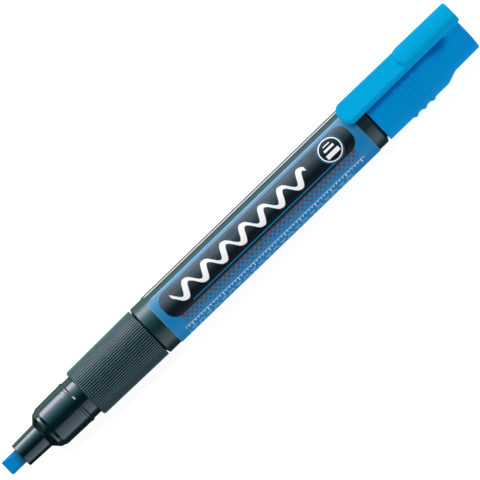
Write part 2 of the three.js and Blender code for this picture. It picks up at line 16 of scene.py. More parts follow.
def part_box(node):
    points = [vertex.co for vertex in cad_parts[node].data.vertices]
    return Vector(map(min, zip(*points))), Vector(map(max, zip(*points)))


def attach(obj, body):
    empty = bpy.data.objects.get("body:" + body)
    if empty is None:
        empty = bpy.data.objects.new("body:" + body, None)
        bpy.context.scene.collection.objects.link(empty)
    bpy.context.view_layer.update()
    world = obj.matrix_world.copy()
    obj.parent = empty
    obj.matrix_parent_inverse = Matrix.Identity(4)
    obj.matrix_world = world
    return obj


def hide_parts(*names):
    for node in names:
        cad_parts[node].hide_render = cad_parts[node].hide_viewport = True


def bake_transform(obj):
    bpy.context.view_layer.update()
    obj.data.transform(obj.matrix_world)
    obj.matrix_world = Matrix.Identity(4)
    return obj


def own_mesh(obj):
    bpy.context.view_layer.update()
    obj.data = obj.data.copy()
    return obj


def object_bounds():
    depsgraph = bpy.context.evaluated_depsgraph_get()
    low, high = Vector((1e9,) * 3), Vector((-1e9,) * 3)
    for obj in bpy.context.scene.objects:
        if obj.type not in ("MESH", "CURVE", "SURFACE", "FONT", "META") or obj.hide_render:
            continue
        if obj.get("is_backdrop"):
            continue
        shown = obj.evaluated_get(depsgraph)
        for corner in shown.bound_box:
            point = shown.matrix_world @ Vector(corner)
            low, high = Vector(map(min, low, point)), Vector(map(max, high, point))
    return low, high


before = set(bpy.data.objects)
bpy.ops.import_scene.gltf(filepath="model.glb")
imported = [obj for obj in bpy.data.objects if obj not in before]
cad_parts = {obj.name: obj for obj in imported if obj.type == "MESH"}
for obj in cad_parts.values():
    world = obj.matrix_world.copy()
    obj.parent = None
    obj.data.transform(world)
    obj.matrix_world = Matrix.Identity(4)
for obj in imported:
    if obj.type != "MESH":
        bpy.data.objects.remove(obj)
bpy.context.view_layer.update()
print("CAD nodes:", ", ".join(sorted(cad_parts)))

# %% [markdown]
# ## Where the pen lies
# The pen's axis runs along X. A turned CAD node is a prism of 48 flats with a flat at the top and at
# the bottom, so the middle of its box is the axis, and its true radius is a little more than half its
# box. Reading places from the boxes keeps every piece where the CAD has it, with no fitting by eye.

# %% The axis, and how to read a CAD node
MM = 0.001
CAD_SIDES = 48

nose_low, nose_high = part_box("nose_cone")
AXIS_HEIGHT = (nose_low.z + nose_high.z) / 2


def front_of(node):
    """Where a CAD node starts along the pen, in mm."""
    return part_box(node)[0].x / MM


def rear_of(node):
    """Where a CAD node ends along the pen, in mm."""
    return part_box(node)[1].x / MM


def radius_of(node):
    """The largest radius of a turned CAD node, in mm."""
    low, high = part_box(node)
    return (high.y - low.y) / 2 / MM / math.cos(math.pi / CAD_SIDES)


pen_front = front_of("nib")
pen_rear = rear_of("cap_clip")
print(f"The axis is {AXIS_HEIGHT / MM:.2f} mm up and the pen is {pen_rear - pen_front:.1f} mm long")

# %% [markdown]
# ## The camera
# A product picture of a pen is taken with a very long lens from far away, so that the barrel's two
# edges stay parallel and the clip is drawn to the same scale as the barrel below it. The camera looks
# down at 56 degrees, square to the pen, and is rolled so that the pen runs corner to corner. We build
# its matrix from three directions, which is safer than guessing three turning angles.

# %% Place the camera
LOOK_DOWN_DEG = 56.0
ROLL_DEG = 44.0
PICTURE_PIXELS = 480
PIXELS_PER_MM = 4.25
AIM_RIGHT = 0.85
AIM_UP = 1.84
CAMERA_DISTANCE = 3000.0
SENSOR_WIDTH = 36.0


def add_to_scene(name, data):
    """An object that shows a mesh, a lamp or a camera."""
    thing = bpy.data.objects.new(name, data)
    bpy.context.scene.collection.objects.link(thing)
    return thing


down = math.radians(LOOK_DOWN_DEG)
roll = math.radians(ROLL_DEG)
pen_direction = Vector((1, 0, 0))
forward = Vector((0, math.cos(down), -math.sin(down)))
level_up = Vector((0, math.sin(down), math.cos(down)))
right = pen_direction * math.cos(roll) - level_up * math.sin(roll)
up = pen_direction * math.sin(roll) + level_up * math.cos(roll)

target = Vector((0, 0, AXIS_HEIGHT)) + (right * AIM_RIGHT + up * AIM_UP) * MM
camera_data = bpy.data.cameras.new("photo_camera")
camera_data.sensor_width = SENSOR_WIDTH
camera_data.lens = SENSOR_WIDTH * CAMERA_DISTANCE / (PICTURE_PIXELS / PIXELS_PER_MM)
camera = add_to_scene("photo_camera", camera_data)
camera.matrix_world = Matrix.Translation(target - forward * CAMERA_DISTANCE * MM) @ Matrix((
    (right.x, up.x, -forward.x, 0),
    (right.y, up.y, -forward.y, 0),
    (right.z, up.z, -forward.z, 0),
    (0, 0, 0, 1),
))
bpy.context.scene.camera = camera
bpy.context.scene.view_settings.view_transform = "Standard"
print(f"The lens is {camera_data.lens:.0f} mm long")

# %% [markdown]
# ## Numbers that change over a surface
# A finish in Blender is a graph of nodes. Written out node by node, even a simple pattern fills a page,
# so we wrap a socket in a small class: when two fields are added or multiplied, a Math node appears
# and is wired up. A pattern can then be written like a formula.

# %% A field of numbers


def feed(place, value):
    """Wires a field into a socket, or sets a plain value there."""
    if isinstance(value, Field):
        place.id_data.links.new(value.socket, place)
    else:
        place.default_value = value


class Field:
    """A number that changes over a surface. A sum or product of fields becomes a Math node."""

    def __init__(self, socket):
        self.socket = socket

    def math(self, operation, *others, clamp=False):
        node = self.socket.id_data.nodes.new("ShaderNodeMath")
        node.operation = operation
        node.use_clamp = clamp
        for place, value in zip(node.inputs, (self, *others)):
            feed(place, value)
        return Field(node.outputs[0])

    def __add__(self, other):
        return self.math("ADD", other)

    def __sub__(self, other):
        return self.math("SUBTRACT", other)

    def __mul__(self, other):
        return self.math("MULTIPLY", other)

    def __truediv__(self, other):
        return self.math("DIVIDE", other)

    def __abs__(self):
        return self.math("ABSOLUTE")

    def at_least(self, other):
        return self.math("MAXIMUM", other)

    def at_most(self, other):
        return self.math("MINIMUM", other)

    def rising(self, start, end):
        """0 below start and 1 above end, with a straight climb between them."""
        return ((self - start) / (end - start)).math("ADD", 0.0, clamp=True)


def length_of(a, b):
    """The length of the step that goes a one way and b square to it."""
    return (a * a + b * b).math("SQRT")


print("Field can:", ", ".join(name for name in vars(Field) if not name.startswith("_")))

# %% [markdown]
# ## Noise with a real size
# Most surfaces need a little unevenness at the right scale. Object coordinates are in metres and stay
# with the piece, so dividing them by a size in millimetres gives lumps of that size. A stretch makes
# the lumps longer one way, for fibres and flow marks.

# %% Noise, colour and relief
WHITE = [1.0, 1.0, 1.0, 1.0]


def coordinates(tree, kind="Object"):
    """Fields along X, Y and Z: where a point lies, in metres, or for kind Normal which way it faces."""
    place = tree.nodes.new("ShaderNodeTexCoord")
    parts = tree.nodes.new("ShaderNodeSeparateXYZ")
    tree.links.new(place.outputs[kind], parts.inputs[0])
    return [Field(part) for part in parts.outputs]


def noise(tree, size, stretch=(1, 1, 1), detail=2.0):
    """Soft noise from 0 to 1 in lumps of about size mm, made longer along X, Y or Z by stretch."""
    place = tree.nodes.new("ShaderNodeTexCoord")
    scaled = tree.nodes.new("ShaderNodeVectorMath")
    scaled.operation = "MULTIPLY"
    scaled.inputs[1].default_value = [1 / (MM * size * longer) for longer in stretch]
    texture = tree.nodes.new("ShaderNodeTexNoise")
    texture.inputs["Scale"].default_value = 1.0
    texture.inputs["Detail"].default_value = detail
    tree.links.new(place.outputs["Object"], scaled.inputs[0])
    tree.links.new(scaled.outputs[0], texture.inputs["Vector"])
    return Field(texture.outputs[0])


def paint(red, green, blue):
    """A screen colour, each part from 0 to 255, as the light values that Blender works in."""
    parts = [part / 255 for part in (red, green, blue)]
    light = [part / 12.92 if part <= 0.04045 else ((part + 0.055) / 1.055) ** 2.4 for part in parts]
    return light + [1.0]


def shaded(colour, factor):
    """The same colour, darker or lighter."""
    return [part * factor for part in colour[:3]] + [1.0]


def mixed(share, under, over):
    """Colour over laid on colour under, as thickly as the field share says."""
    node = share.socket.id_data.nodes.new("ShaderNodeMix")
    node.data_type = "RGBA"
    feed(node.inputs[0], share)
    feed(node.inputs[6], under)
    feed(node.inputs[7], over)
    return Field(node.outputs[2])


def relief(shader, height):
    """Lets light fall as if the surface stood up by height, a field in mm."""
    bump = shader.id_data.nodes.new("ShaderNodeBump")
    bump.inputs["Strength"].default_value = 1.0
    bump.inputs["Distance"].default_value = MM
    feed(bump.inputs["Height"], height)
    shader.id_data.links.new(bump.outputs["Normal"], shader.inputs["Normal"])


def new_finish(name):
    """An empty material and its shader."""
    material = bpy.data.materials.new(name)
    material.use_nodes = True
    shader = next(node for node in material.node_tree.nodes if node.type == "BSDF_PRINCIPLED")
    return material, shader


print("A mid grey of 128 is", round(paint(128, 128, 128)[0], 3), "as light")

# %% [markdown]
# ## The studio
# Gloss is only as good as what it mirrors. Black plastic shows no colour of its own: it shows a
# bright strip where a lamp is and black where nothing is. So the pen lies in a drum of light that only
# reflections can see. Its colour depends on the angle round the pen, measured from straight above
# toward the viewer: a bright strip behind that fades through teal, darkness above, and a blue-grey card
# low in front. Strip and card are short, so a bevel that looks along the pen stays dark. Past a gap a
# weaker copy stands at each end, and a small bright patch behind the cap puts a glint on the snap ring.

# %% The drum of reflections
DRUM_RADIUS = 0.6
DRUM_HALF_LENGTH = 1.0
DRUM_SIDES = 96
DRUM_LIGHT = 13.0
STRIP_HALF_LENGTH = 0.45
STRIP_SOFT_END = 0.06
END_SHARE = 0.2
END_FROM = 0.68
GLINT_LIGHT = 12.0
GLINT_MIDDLE_DEG = -4.0
GLINT_HALF_DEG = 9.0
GLINT_SOFT_DEG = 10.0
DRUM_COLOURS = [
    (-180, (0.02, 0.03, 0.03)),
    (-118, (0.06, 0.11, 0.10)),
    (-92, (0.75, 1.20, 1.15)),
    (-65, (0.80, 1.25, 1.20)),
    (-57, (10.5, 10.6, 12.0)),
    (-40, (10.9, 11.3, 13.0)),
    (-34, (6.20, 7.20, 8.60)),
    (-26, (2.90, 4.20, 5.00)),
    (-6, (0.60, 1.80, 2.10)),
    (14, (0.17, 0.50, 0.60)),
    (32, (0.01, 0.02, 0.02)),
    (58, (0.04, 0.07, 0.10)),
    (66, (0.90, 1.25, 1.55)),
    (90, (1.35, 1.85, 2.25)),
    (126, (1.90, 2.40, 2.80)),
    (135, (0.30, 0.40, 0.50)),
    (150, (0.03, 0.04, 0.05)),
]


def drum_places(tree):
    """How far along the pen a point of the drum lies, and its angle from straight up to the viewer."""
    along, across, height = coordinates(tree)
    toward_viewer = across * -1.0
    return along, toward_viewer.math("ARCTAN2", height - AXIS_HEIGHT) * math.degrees(1)


def drum_colour(tree, angle):
    """The colour of the drum at an angle, from the list of colours."""
    ramp = tree.nodes.new("ShaderNodeValToRGB")
    stops = ramp.color_ramp.elements
    while len(stops) < len(DRUM_COLOURS):
        stops.new(1.0)
    for stop, (degrees, colour) in zip(stops, DRUM_COLOURS):
        stop.position = (degrees + 180) / 360
        stop.color = [part / DRUM_LIGHT for part in colour] + [1.0]
    feed(ramp.inputs[0], (angle + 180.0) / 360.0)
    return Field(ramp.outputs[0])


def drum_finish():
    """The drum's light: strip and card in the middle, weaker copies beyond, and the glint."""
    material = bpy.data.materials.new("drum_light")
    material.use_nodes = True
    tree = material.node_tree
    tree.nodes.clear()
    along, angle = drum_places(tree)
    out = abs(along)
    beside = out.rising(STRIP_HALF_LENGTH + STRIP_SOFT_END, STRIP_HALF_LENGTH)
    beyond = out.rising(END_FROM, END_FROM + STRIP_SOFT_END)
    behind_cap = along.rising(END_FROM, END_FROM + STRIP_SOFT_END)
    off_glint = abs(angle - GLINT_MIDDLE_DEG)
    glint = behind_cap * off_glint.rising(GLINT_HALF_DEG + GLINT_SOFT_DEG, GLINT_HALF_DEG)
    emission = tree.nodes.new("ShaderNodeEmission")
    feed(emission.inputs["Color"], mixed(glint, drum_colour(tree, angle), WHITE))
    feed(emission.inputs["Strength"], (beside + beyond * END_SHARE) * DRUM_LIGHT + glint * GLINT_LIGHT)
    output = tree.nodes.new("ShaderNodeOutputMaterial")
    tree.links.new(emission.outputs[0], output.inputs["Surface"])
    material.cycles.emission_sampling = "NONE"
    return material


def drum_mesh():
    """A closed drum round the pen."""
    points = []
    for end in (-DRUM_HALF_LENGTH, DRUM_HALF_LENGTH):
        for side in range(DRUM_SIDES):
            angle = side / DRUM_SIDES * 2 * math.pi
            y, z = DRUM_RADIUS * math.sin(angle), DRUM_RADIUS * math.cos(angle)
            points.append((end, y, z + AXIS_HEIGHT))
    nexts = [(side, (side + 1) % DRUM_SIDES) for side in range(DRUM_SIDES)]
    faces = [(a, b, b + DRUM_SIDES, a + DRUM_SIDES) for a, b in nexts]
    faces.append(tuple(range(DRUM_SIDES)))
    faces.append(tuple(range(2 * DRUM_SIDES - 1, DRUM_SIDES - 1, -1)))
    mesh = bpy.data.meshes.new("reflection_drum")
    mesh.from_pydata(points, [], faces)
    return mesh


drum = add_to_scene("reflection_drum", drum_mesh())
drum.data.materials.append(drum_finish())
drum.visible_camera = False
drum.visible_diffuse = False
drum.visible_transmission = False
drum.visible_shadow = False
drum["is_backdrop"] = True
print("The drum has", len(drum.data.polygons), "faces")

# %% [markdown]
# ## Soft light and floor
# What isn't mirrored is lit by large lamps: one behind, which makes the clip's top the brightest
# part, and a narrower one above, which lets the clip throw a soft shade on the cap. The lamps
# are hidden from reflections, because the drum already stands in for them there. The table is a light
# table: its sheet glows a little, which washes the shadow out and keeps the background white.

# %% Lamps, sky and floor
FLOOR_HALF = 4.0
FLOOR_COLOUR = paint(116, 117, 118)
FLOOR_GLOW = 0.93
FLOOR_ROUGHNESS = 0.9
SKY_LIGHT = 0.36


def soft_lamp(name, degrees_round, distance, size, power):
    """A large lamp that shines at the pen from an angle round its axis."""
    lamp = bpy.data.lights.new(name, "AREA")
    lamp.shape = "RECTANGLE"
    lamp.size, lamp.size_y = size
    lamp.energy = power
    holder = add_to_scene(name, lamp)
    angle = math.radians(degrees_round)
    away = Vector((0, -math.sin(angle), math.cos(angle)))
    holder.location = Vector((0, 0, AXIS_HEIGHT)) + away * distance
    holder.rotation_euler = away.to_track_quat("Z", "Y").to_euler()
    holder.visible_glossy = False


soft_lamp("lamp_behind", degrees_round=-42, distance=0.8, size=(0.9, 0.5), power=4.6)
soft_lamp("lamp_above", degrees_round=0, distance=0.8, size=(0.9, 0.26), power=2.9)

world = bpy.data.worlds.new("sky")
world.use_nodes = True
sky = next(node for node in world.node_tree.nodes if node.type == "BACKGROUND")
sky.inputs["Color"].default_value = WHITE
sky.inputs["Strength"].default_value = SKY_LIGHT
world.cycles_visibility.glossy = False
bpy.context.scene.world = world

floor_mesh = bpy.data.meshes.new("floor")
corners = [(-1, -1), (1, -1), (1, 1), (-1, 1)]
floor_mesh.from_pydata([(x * FLOOR_HALF, y * FLOOR_HALF, 0) for x, y in corners], [], [(0, 1, 2, 3)])
floor = add_to_scene("floor", floor_mesh)
floor_finish, floor_shader = new_finish("floor_paper")
floor_shader.inputs["Base Color"].default_value = FLOOR_COLOUR
floor_shader.inputs["Roughness"].default_value = FLOOR_ROUGHNESS
floor_shader.inputs["Emission Color"].default_value = WHITE
floor_shader.inputs["Emission Strength"].default_value = FLOOR_GLOW
floor_finish.cycles.emission_sampling = "NONE"
floor_mesh.materials.append(floor_finish)
floor.visible_glossy = False
floor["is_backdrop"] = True
print("Two lamps, a sky of", SKY_LIGHT, "and a floor of", 2 * FLOOR_HALF, "m")

# %% [markdown]
# ## Turned shapes
# Most of the pen is round, so most pieces are an outline turned about the axis. The trick that makes
# such a piece look moulded is in its corners: real corners are never sharp, and a tiny round catches a
# line of light. Each corner of an outline therefore carries the size of its round. An extra point just
# beside each round keeps the long faces next to it flat when the mesh is smooth shaded.

# %% Rounded outlines, turned about the pen
ROUND_STEPS = 7
GUARD_SHARE = 0.12
TURNED_SIDES = 192
ON_AXIS = 1e-6


def rounded(corners):
    """An outline of (station, radius) points from corners that may each give the size of their round."""
    outline = []
    for index, (station, radius, *size) in enumerate(corners):
        corner = Vector((station, radius))
        if not size:
            outline.append(corner)
            continue
        following = corners[(index + 1) % len(corners)]
        to_last = (Vector(corners[index - 1][:2]) - corner).normalized()
        to_next = (Vector(following[:2]) - corner).normalized()
        start = corner + to_last * size[0]
        end = corner + to_next * size[0]
        outline.append(start + to_last * size[0] * GUARD_SHARE)
        for step in range(ROUND_STEPS + 1):
            share = step / ROUND_STEPS
            outline.append(start.lerp(corner, share).lerp(corner.lerp(end, share), share))
        outline.append(end + to_next * size[0] * GUARD_SHARE)
    return outline


def round_pen(station, radius, degrees):
    """A point so far along the pen and from its axis, turned from straight up toward the viewer."""
    angle = math.radians(degrees)
    return (station, -radius * math.sin(angle), radius * math.cos(angle))


def turned(outline, sides=TURNED_SIDES):
    """Points and faces of a closed outline turned about the axis. A point on the axis is kept single."""
    points, rings = [], []
    for station, radius in outline:
        count = sides if radius > ON_AXIS else 1
        rings.append(range(len(points), len(points) + count))
        points += [round_pen(station, radius, 360 * side / sides) for side in range(count)]
    faces = []
    for ring, after in zip(rings, rings[1:] + rings[:1]):
        for side in range(sides):
            beside = (side + 1) % sides
            face = [ring[side % len(ring)], ring[beside % len(ring)]]
            face += [after[beside % len(after)], after[side % len(after)]]
            face = list(dict.fromkeys(face))
            if len(face) > 2:
                faces.append(face)
    return points, faces


test_round = rounded([(0, 0), (0, 1, 0.2), (2, 1, 0.2), (2, 0)])
print("Two rounded corners make an outline of", len(test_round), "points")

# %% [markdown]
# ## From points to a piece
# Blender keeps a mesh and the object that shows it apart. This helper makes both, joins doubled points,
# turns every face outward and then decides which edges stay crisp: smooth shading everywhere, but sharp
# where two faces meet at more than a set angle. It also counts open edges, because a solid has none.

# %% Make a piece
CRISP_DEG = 38.0
DOUBLED = 1e-7


def smoothed(mesh, crisp_deg=CRISP_DEG):
    """Smooth shading that stays crisp where two faces meet at more than an angle."""
    mesh.shade_smooth()
    mesh.set_sharp_from_angle(angle=math.radians(crisp_deg))
    return mesh


def make_piece(name, shape, finish, crisp_deg=CRISP_DEG):
    """A closed, smooth shaded object from (points in mm from the axis, faces)."""
    points, faces = shape
    mesh = bpy.data.meshes.new(name)
    mesh.from_pydata([(x * MM, y * MM, z * MM + AXIS_HEIGHT) for x, y, z in points], [], faces)
    form = bmesh.new()
    form.from_mesh(mesh)
    bmesh.ops.remove_doubles(form, verts=form.verts, dist=DOUBLED)
    bmesh.ops.dissolve_degenerate(form, edges=form.edges, dist=DOUBLED)
    bmesh.ops.recalc_face_normals(form, faces=form.faces)
    open_edges = sum(1 for edge in form.edges if len(edge.link_faces) != 2)
    form.to_mesh(mesh)
    form.free()
    smoothed(mesh, crisp_deg).materials.append(finish)
    piece = add_to_scene(name, mesh)
    print(f"{name}: {len(mesh.vertices)} points, {len(mesh.polygons)} faces, {open_edges} open edges")
    return piece


def settle(piece, body, node, slot):
    """The piece rides on a body of the pen and stands for a CAD node, which it hides. The slot is not used.
    """
    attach(piece, body)
    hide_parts(node)


def turned_piece(name, corners, finish, place, sides=TURNED_SIDES):
    """A piece turned from its corners, and settled in its place: a body and a CAD node. The slot is not
    used.
    """
    settle(make_piece(name, turned(rounded(corners), sides), finish), *place)


print("Edges stay crisp above", CRISP_DEG, "degrees")

# %% [markdown]
# ## Moulded plastic
# A moulded part copies its steel mould. A spark-eroded mould leaves a fine grain that spreads the
# highlight, a polished one leaves only a slow waviness. The pigment is never perfectly even either. One
# function gives all of this, from the colour, the roughness and the size and depth of the grain. A piece
# may take a second colour where it faces up, as painted shade under the strong light from above, and a
# third at its foot, where it flows into its neighbour.

# %% The finish of moulded plastic
FLOW_STRETCH = (3.0, 1.0, 1.0)
FOOT_SOFT = 1.1


def facing_up(tree):
    """1 where a piece faces up, 0 where it faces sideways or down."""
    return coordinates(tree, "Normal")[2].rising(0.1, 0.95)


def lower_than(tree, height):
    """1 below a height in millimetres over the axis, less a soft edge, and 0 above it."""
    return ((coordinates(tree)[2] - AXIS_HEIGHT) / MM).rising(height, height - FOOT_SOFT)


def moulded_plastic(name, colour, roughness, gloss, grain, cloud=0.05, sink_depth=0.0, top=None, foot=None):
    """A finish from a colour, its roughness, how much it mirrors and its grain's size and depth.

    Top is a colour of painted shade laid where a piece faces up, under the strong light from above.
    Foot is a colour and the height below which it takes over.
    """
    grain_size, grain_depth = grain
    material, shader = new_finish(name)
    tree = material.node_tree
    clouds = noise(tree, 7.0, FLOW_STRETCH, detail=3.0)

    def clouded(tone):
        return mixed(clouds, shaded(tone, 1 - cloud), shaded(tone, 1 + cloud))

    pits = noise(tree, grain_size, detail=3.0)
    hairlines = noise(tree, 0.35, (40, 1, 1), detail=1.0).rising(0.64, 0.72)
    sinks = noise(tree, 4.0, FLOW_STRETCH, detail=0.0)
    pigment = clouded(colour)
    # Painted shade: the face-up colour stands in for the strong light from above.
    if top is not None:
        pigment = mixed(facing_up(tree), pigment, clouded(top))
    if foot is not None:
        foot_colour, foot_height = foot
        pigment = mixed(lower_than(tree, foot_height), pigment, clouded(foot_colour))
    feed(shader.inputs["Base Color"], pigment)
    feed(shader.inputs["Roughness"], clouds * 0.08 + pits * 0.08 + hairlines * 0.05 + (roughness - 0.08))
    shader.inputs["Specular IOR Level"].default_value = gloss
    relief(shader, pits * grain_depth + sinks * sink_depth - hairlines * 0.0006)
    return material


nose_gloss = moulded_plastic(
    "polished_green_black", paint(4, 25, 28), roughness=0.09, gloss=0.5, grain=(0.5, 0.0006), sink_depth=0.01
)
barrel_satin = moulded_plastic(
    "satin_green_black", paint(14, 40, 39), roughness=0.32, gloss=0.4, grain=(0.3, 0.002)
)
print("Green-black finishes: nose and barrel")

# %% [markdown]
# ## The nose
# The nose is one glossy moulding: a narrow holder round the nib, a cone, a short bevelled band, a wide
# cylinder, a snap ring that clicks into the cap, and a neck. Behind the neck a spigot is pushed into
# the grip and barrel. It is hollow, with a small bore for the nib and a chamber for the valve. Two
# clearances are used all through the pen: GAP is a hair's breadth between close neighbours, and FIT
# is twice that.

# %% The nose moulding
HOLDER_LENGTH = 6.95
HOLDER_FRONT_RADIUS = 3.2
HOLDER_REAR_RADIUS = 3.42
CONE_LENGTH = 1.6
CONE_REAR_RADIUS = 5.12
BAND_LENGTH = 1.45
BAND_STEP = 0.6
BAND_STEP_RADIUS = 5.25
NOSE_FRONT_RADIUS = 5.63
NOSE_REAR_RADIUS = 5.74
RING_WIDTH = 0.95
RING_FRONT_FLANK = 0.15
RING_REAR_FLANK = 0.42
RING_ROUND = 0.12
NECK_LENGTH = 2.2
NECK_RADIUS = 5.6
WITNESS_SETBACK = 1.15
WITNESS_WIDTH = 0.16
WITNESS_DEPTH = 0.05
NIB_BORE = 2.15
CHAMBER_RADIUS = 4.3
CHAMBER_LEAD = 0.3
SPIGOT_RADIUS = 5.2
GAP = 0.05
FIT = 0.1

ring_radius = radius_of("nose_cone")
holder_front = front_of("nose_cone")
cone_front = holder_front + HOLDER_LENGTH
cone_rear = cone_front + CONE_LENGTH
nose_front = cone_rear + BAND_LENGTH
neck_rear = front_of("grip_sleeve") - GAP
ring_rear = neck_rear - NECK_LENGTH
ring_front = ring_rear - RING_WIDTH
spigot_rear = rear_of("nose_cone")
witness = ring_front - WITNESS_SETBACK

nose_corners = [
    (holder_front, HOLDER_FRONT_RADIUS, 0.25),
    (cone_front, HOLDER_REAR_RADIUS, 0.18),
    (cone_rear, CONE_REAR_RADIUS, 0.25),
    (cone_rear + BAND_STEP, BAND_STEP_RADIUS, 0.12),
    (nose_front, NOSE_FRONT_RADIUS, 0.22),
    (witness - WITNESS_WIDTH, NOSE_REAR_RADIUS, 0.05),
    (witness, NOSE_REAR_RADIUS - WITNESS_DEPTH, 0.05),
    (witness + WITNESS_WIDTH, NOSE_REAR_RADIUS, 0.05),
    (ring_front, NOSE_REAR_RADIUS, 0.06),
    (ring_front + RING_FRONT_FLANK, ring_radius, RING_ROUND),
    (ring_rear - RING_REAR_FLANK, ring_radius, RING_ROUND),
    (ring_rear, NECK_RADIUS, 0.06),
    (neck_rear, NECK_RADIUS, 0.05),
    (neck_rear, SPIGOT_RADIUS),
    (spigot_rear, SPIGOT_RADIUS, 0.15),
    (spigot_rear, CHAMBER_RADIUS),
    (nose_front + CHAMBER_LEAD, CHAMBER_RADIUS),
    (cone_rear, NIB_BORE),
    (holder_front, NIB_BORE, 0.1),
]
turned_piece("nose_moulding", nose_corners, nose_gloss, ("pen_body", "nose_cone", "nose_plastic"))

# %% [markdown]
# ## The grip
# Seventy straight ribs keep fingers from slipping. Each is 0.6 mm wide: a nearly flat land with rounded
# edges, then a groove. The flat lands mirror the studio as a plain tube would, and their edges draw
# the fine bright lines. The grooves start just behind the front lip and run out at the rear. We go
# round the sleeve once for each ring of points, closest together where a rib turns quickly.

# %% The ribbed grip
RIB_COUNT = 70
RIB_HEIGHT = 0.3
RIB_LAND = 0.46
RIB_CROWN = 0.04
RIB_SHARES = (0, 0.03, 0.06, 0.11, 0.17, 0.23, 0.29, 0.35, 0.4, 0.43, 0.46, 0.5, 0.58, 0.73, 0.88, 0.96)
GRIP_FRONT_RADIUS = 6.65
GRIP_FRONT_ROUND = 0.65
GRIP_REAR_ROUND = 0.12
GROOVE_START = 0.3
GROOVE_RUN_OUT = 0.3
GRIP_BORE = SPIGOT_RADIUS + FIT
GRIP_LIP_STEPS = 12
BEHIND_LIP = (0.9, 1.0, 1.2)
BEFORE_RIM = (0.6, 0.12, 0.08, 0.04, 0.015, 0.0)

grip_front = front_of("grip_sleeve")
grip_rear = rear_of("grip_sleeve")
barrel_radius = radius_of("barrel")


def eased(share):
    """From 0 to 1, level at both ends."""
    inside = min(max(share, 0.0), 1.0)
    return inside * inside * (3 - 2 * inside)


def rib_depth(share):
    """How far below the rib's land the surface lies, at a share of the way from rib to rib."""
    if share <= RIB_LAND:
        return RIB_CROWN * (2 * share / RIB_LAND - 1) ** 4
    across = (share - RIB_LAND) / (1 - RIB_LAND)
    return RIB_CROWN + (RIB_HEIGHT - RIB_CROWN) * (1 - abs(2 * across - 1) ** 3)


def quarter_round(share, size):
    """How far a round corner of that size has fallen, at a share of the way out to its end."""
    return size * (1 - math.sqrt(1 - share * share))


def grip_radius(station):
    """The sleeve's radius over its crests, with its rounded front lip and rear rim."""
    share = (station - grip_front) / (grip_rear - grip_front)
    plain = GRIP_FRONT_RADIUS + (barrel_radius - GRIP_FRONT_RADIUS) * share
    lip = max(1 - (station - grip_front) / GRIP_FRONT_ROUND, 0.0)
    rim = max(1 - (grip_rear - station) / GRIP_REAR_ROUND, 0.0)
    return plain - quarter_round(lip, GRIP_FRONT_ROUND) - quarter_round(rim, GRIP_REAR_ROUND)


def groove_share(station):
    """How much of its full depth a groove has at a station."""
    return eased((station - grip_front - GROOVE_START) / GROOVE_RUN_OUT)


def grip_shape():
    """Rings of points over the ribs, then back through the plain bore."""
    turns = [step / GRIP_LIP_STEPS * math.pi / 2 for step in range(GRIP_LIP_STEPS + 1)]
    lip = [GRIP_FRONT_ROUND * (1 - math.cos(turn)) for turn in turns]
    stations = [grip_front + step for step in (*lip, *BEHIND_LIP)]
    middle = grip_rear - grip_front - 2 * BEHIND_LIP[-1]
    stations += [stations[-1] + middle * share for share in (0.25, 0.5, 0.75, 1.0)]
    stations += [grip_rear - step for step in BEFORE_RIM]
    rows = [(station, grip_radius(station), groove_share(station)) for station in stations]
    rows += [(grip_rear, GRIP_BORE, 0.0), (grip_front, GRIP_BORE, 0.0)]
    ribs = [(rib + share, rib_depth(share)) for rib in range(RIB_COUNT) for share in RIB_SHARES]
    sides = len(ribs)
    points, rings = [], []
    for station, radius, depth in rows:
        rings.append(len(points))
        points += [round_pen(station, radius - depth * down, 360 * rib / RIB_COUNT) for rib, down in ribs]
    faces = []
    for ring, after in zip(rings, rings[1:] + rings[:1]):
        for side in range(sides):
            beside = (side + 1) % sides
            faces.append((ring + side, ring + beside, after + beside, after + side))
    return points, faces


print(f"A rib is {2 * math.pi * barrel_radius / RIB_COUNT:.2f} mm wide at the rear of the grip")

# %% [markdown]
# ## What fingers do to a grip
# Lands are rubbed by fingers and turn a little paler and smoother. Grooves keep their dull mould finish
# and are painted near black: some ink dust, and painted shade in the recess. How deep a point lies is
# its distance from the axis, measured against the sleeve's taper, so the finish needs no painted mask
# and fits every rib.

# %% The grip's finish
LAND_COLOUR = paint(27, 57, 62)
# Near black in the grooves: some ink dust, and painted shade in the recess.
GROOVE_DUST_AND_SHADE = paint(0, 3, 5)
SMOOTH_LIP_SOFT = 0.2


def rubbed_grip_with_groove_shade():
    """Rubbed lands over dull grooves with ink dust and painted shade, told apart by their distance from the
    axis.
    """
    material, shader = new_finish("rubbed_slate_green_groove_shade")
    tree = material.node_tree
    along, across, height = coordinates(tree)
    station = along / MM
    share = (station - grip_front) / (grip_rear - grip_front)
    crest = share * (barrel_radius - GRIP_FRONT_RADIUS) + GRIP_FRONT_RADIUS
    from_axis = length_of(across, height - AXIS_HEIGHT) / MM
    first_groove = grip_front + GROOVE_START
    near_lip = station.rising(first_groove + SMOOTH_LIP_SOFT, first_groove)
    raised = (from_axis - crest).rising(-RIB_HEIGHT * 0.8, -RIB_CROWN).at_least(near_lip)
    rubbed = noise(tree, 5.0, (2, 1, 1), detail=3.0)
    grain = noise(tree, 0.2, detail=2.0)
    rub = rubbed * 0.3 + 0.85
    # Grooves take the near-black colour, ink dust and painted shade; lands keep the grip's own colour.
    feed(shader.inputs["Base Color"], mixed(raised * rub, GROOVE_DUST_AND_SHADE, LAND_COLOUR))
    feed(shader.inputs["Roughness"], grain * 0.1 + 0.85 - raised * rub * 0.6)
    feed(shader.inputs["Specular IOR Level"], raised * 0.66 + 0.04)
    relief(shader, grain * 0.004)
    return material


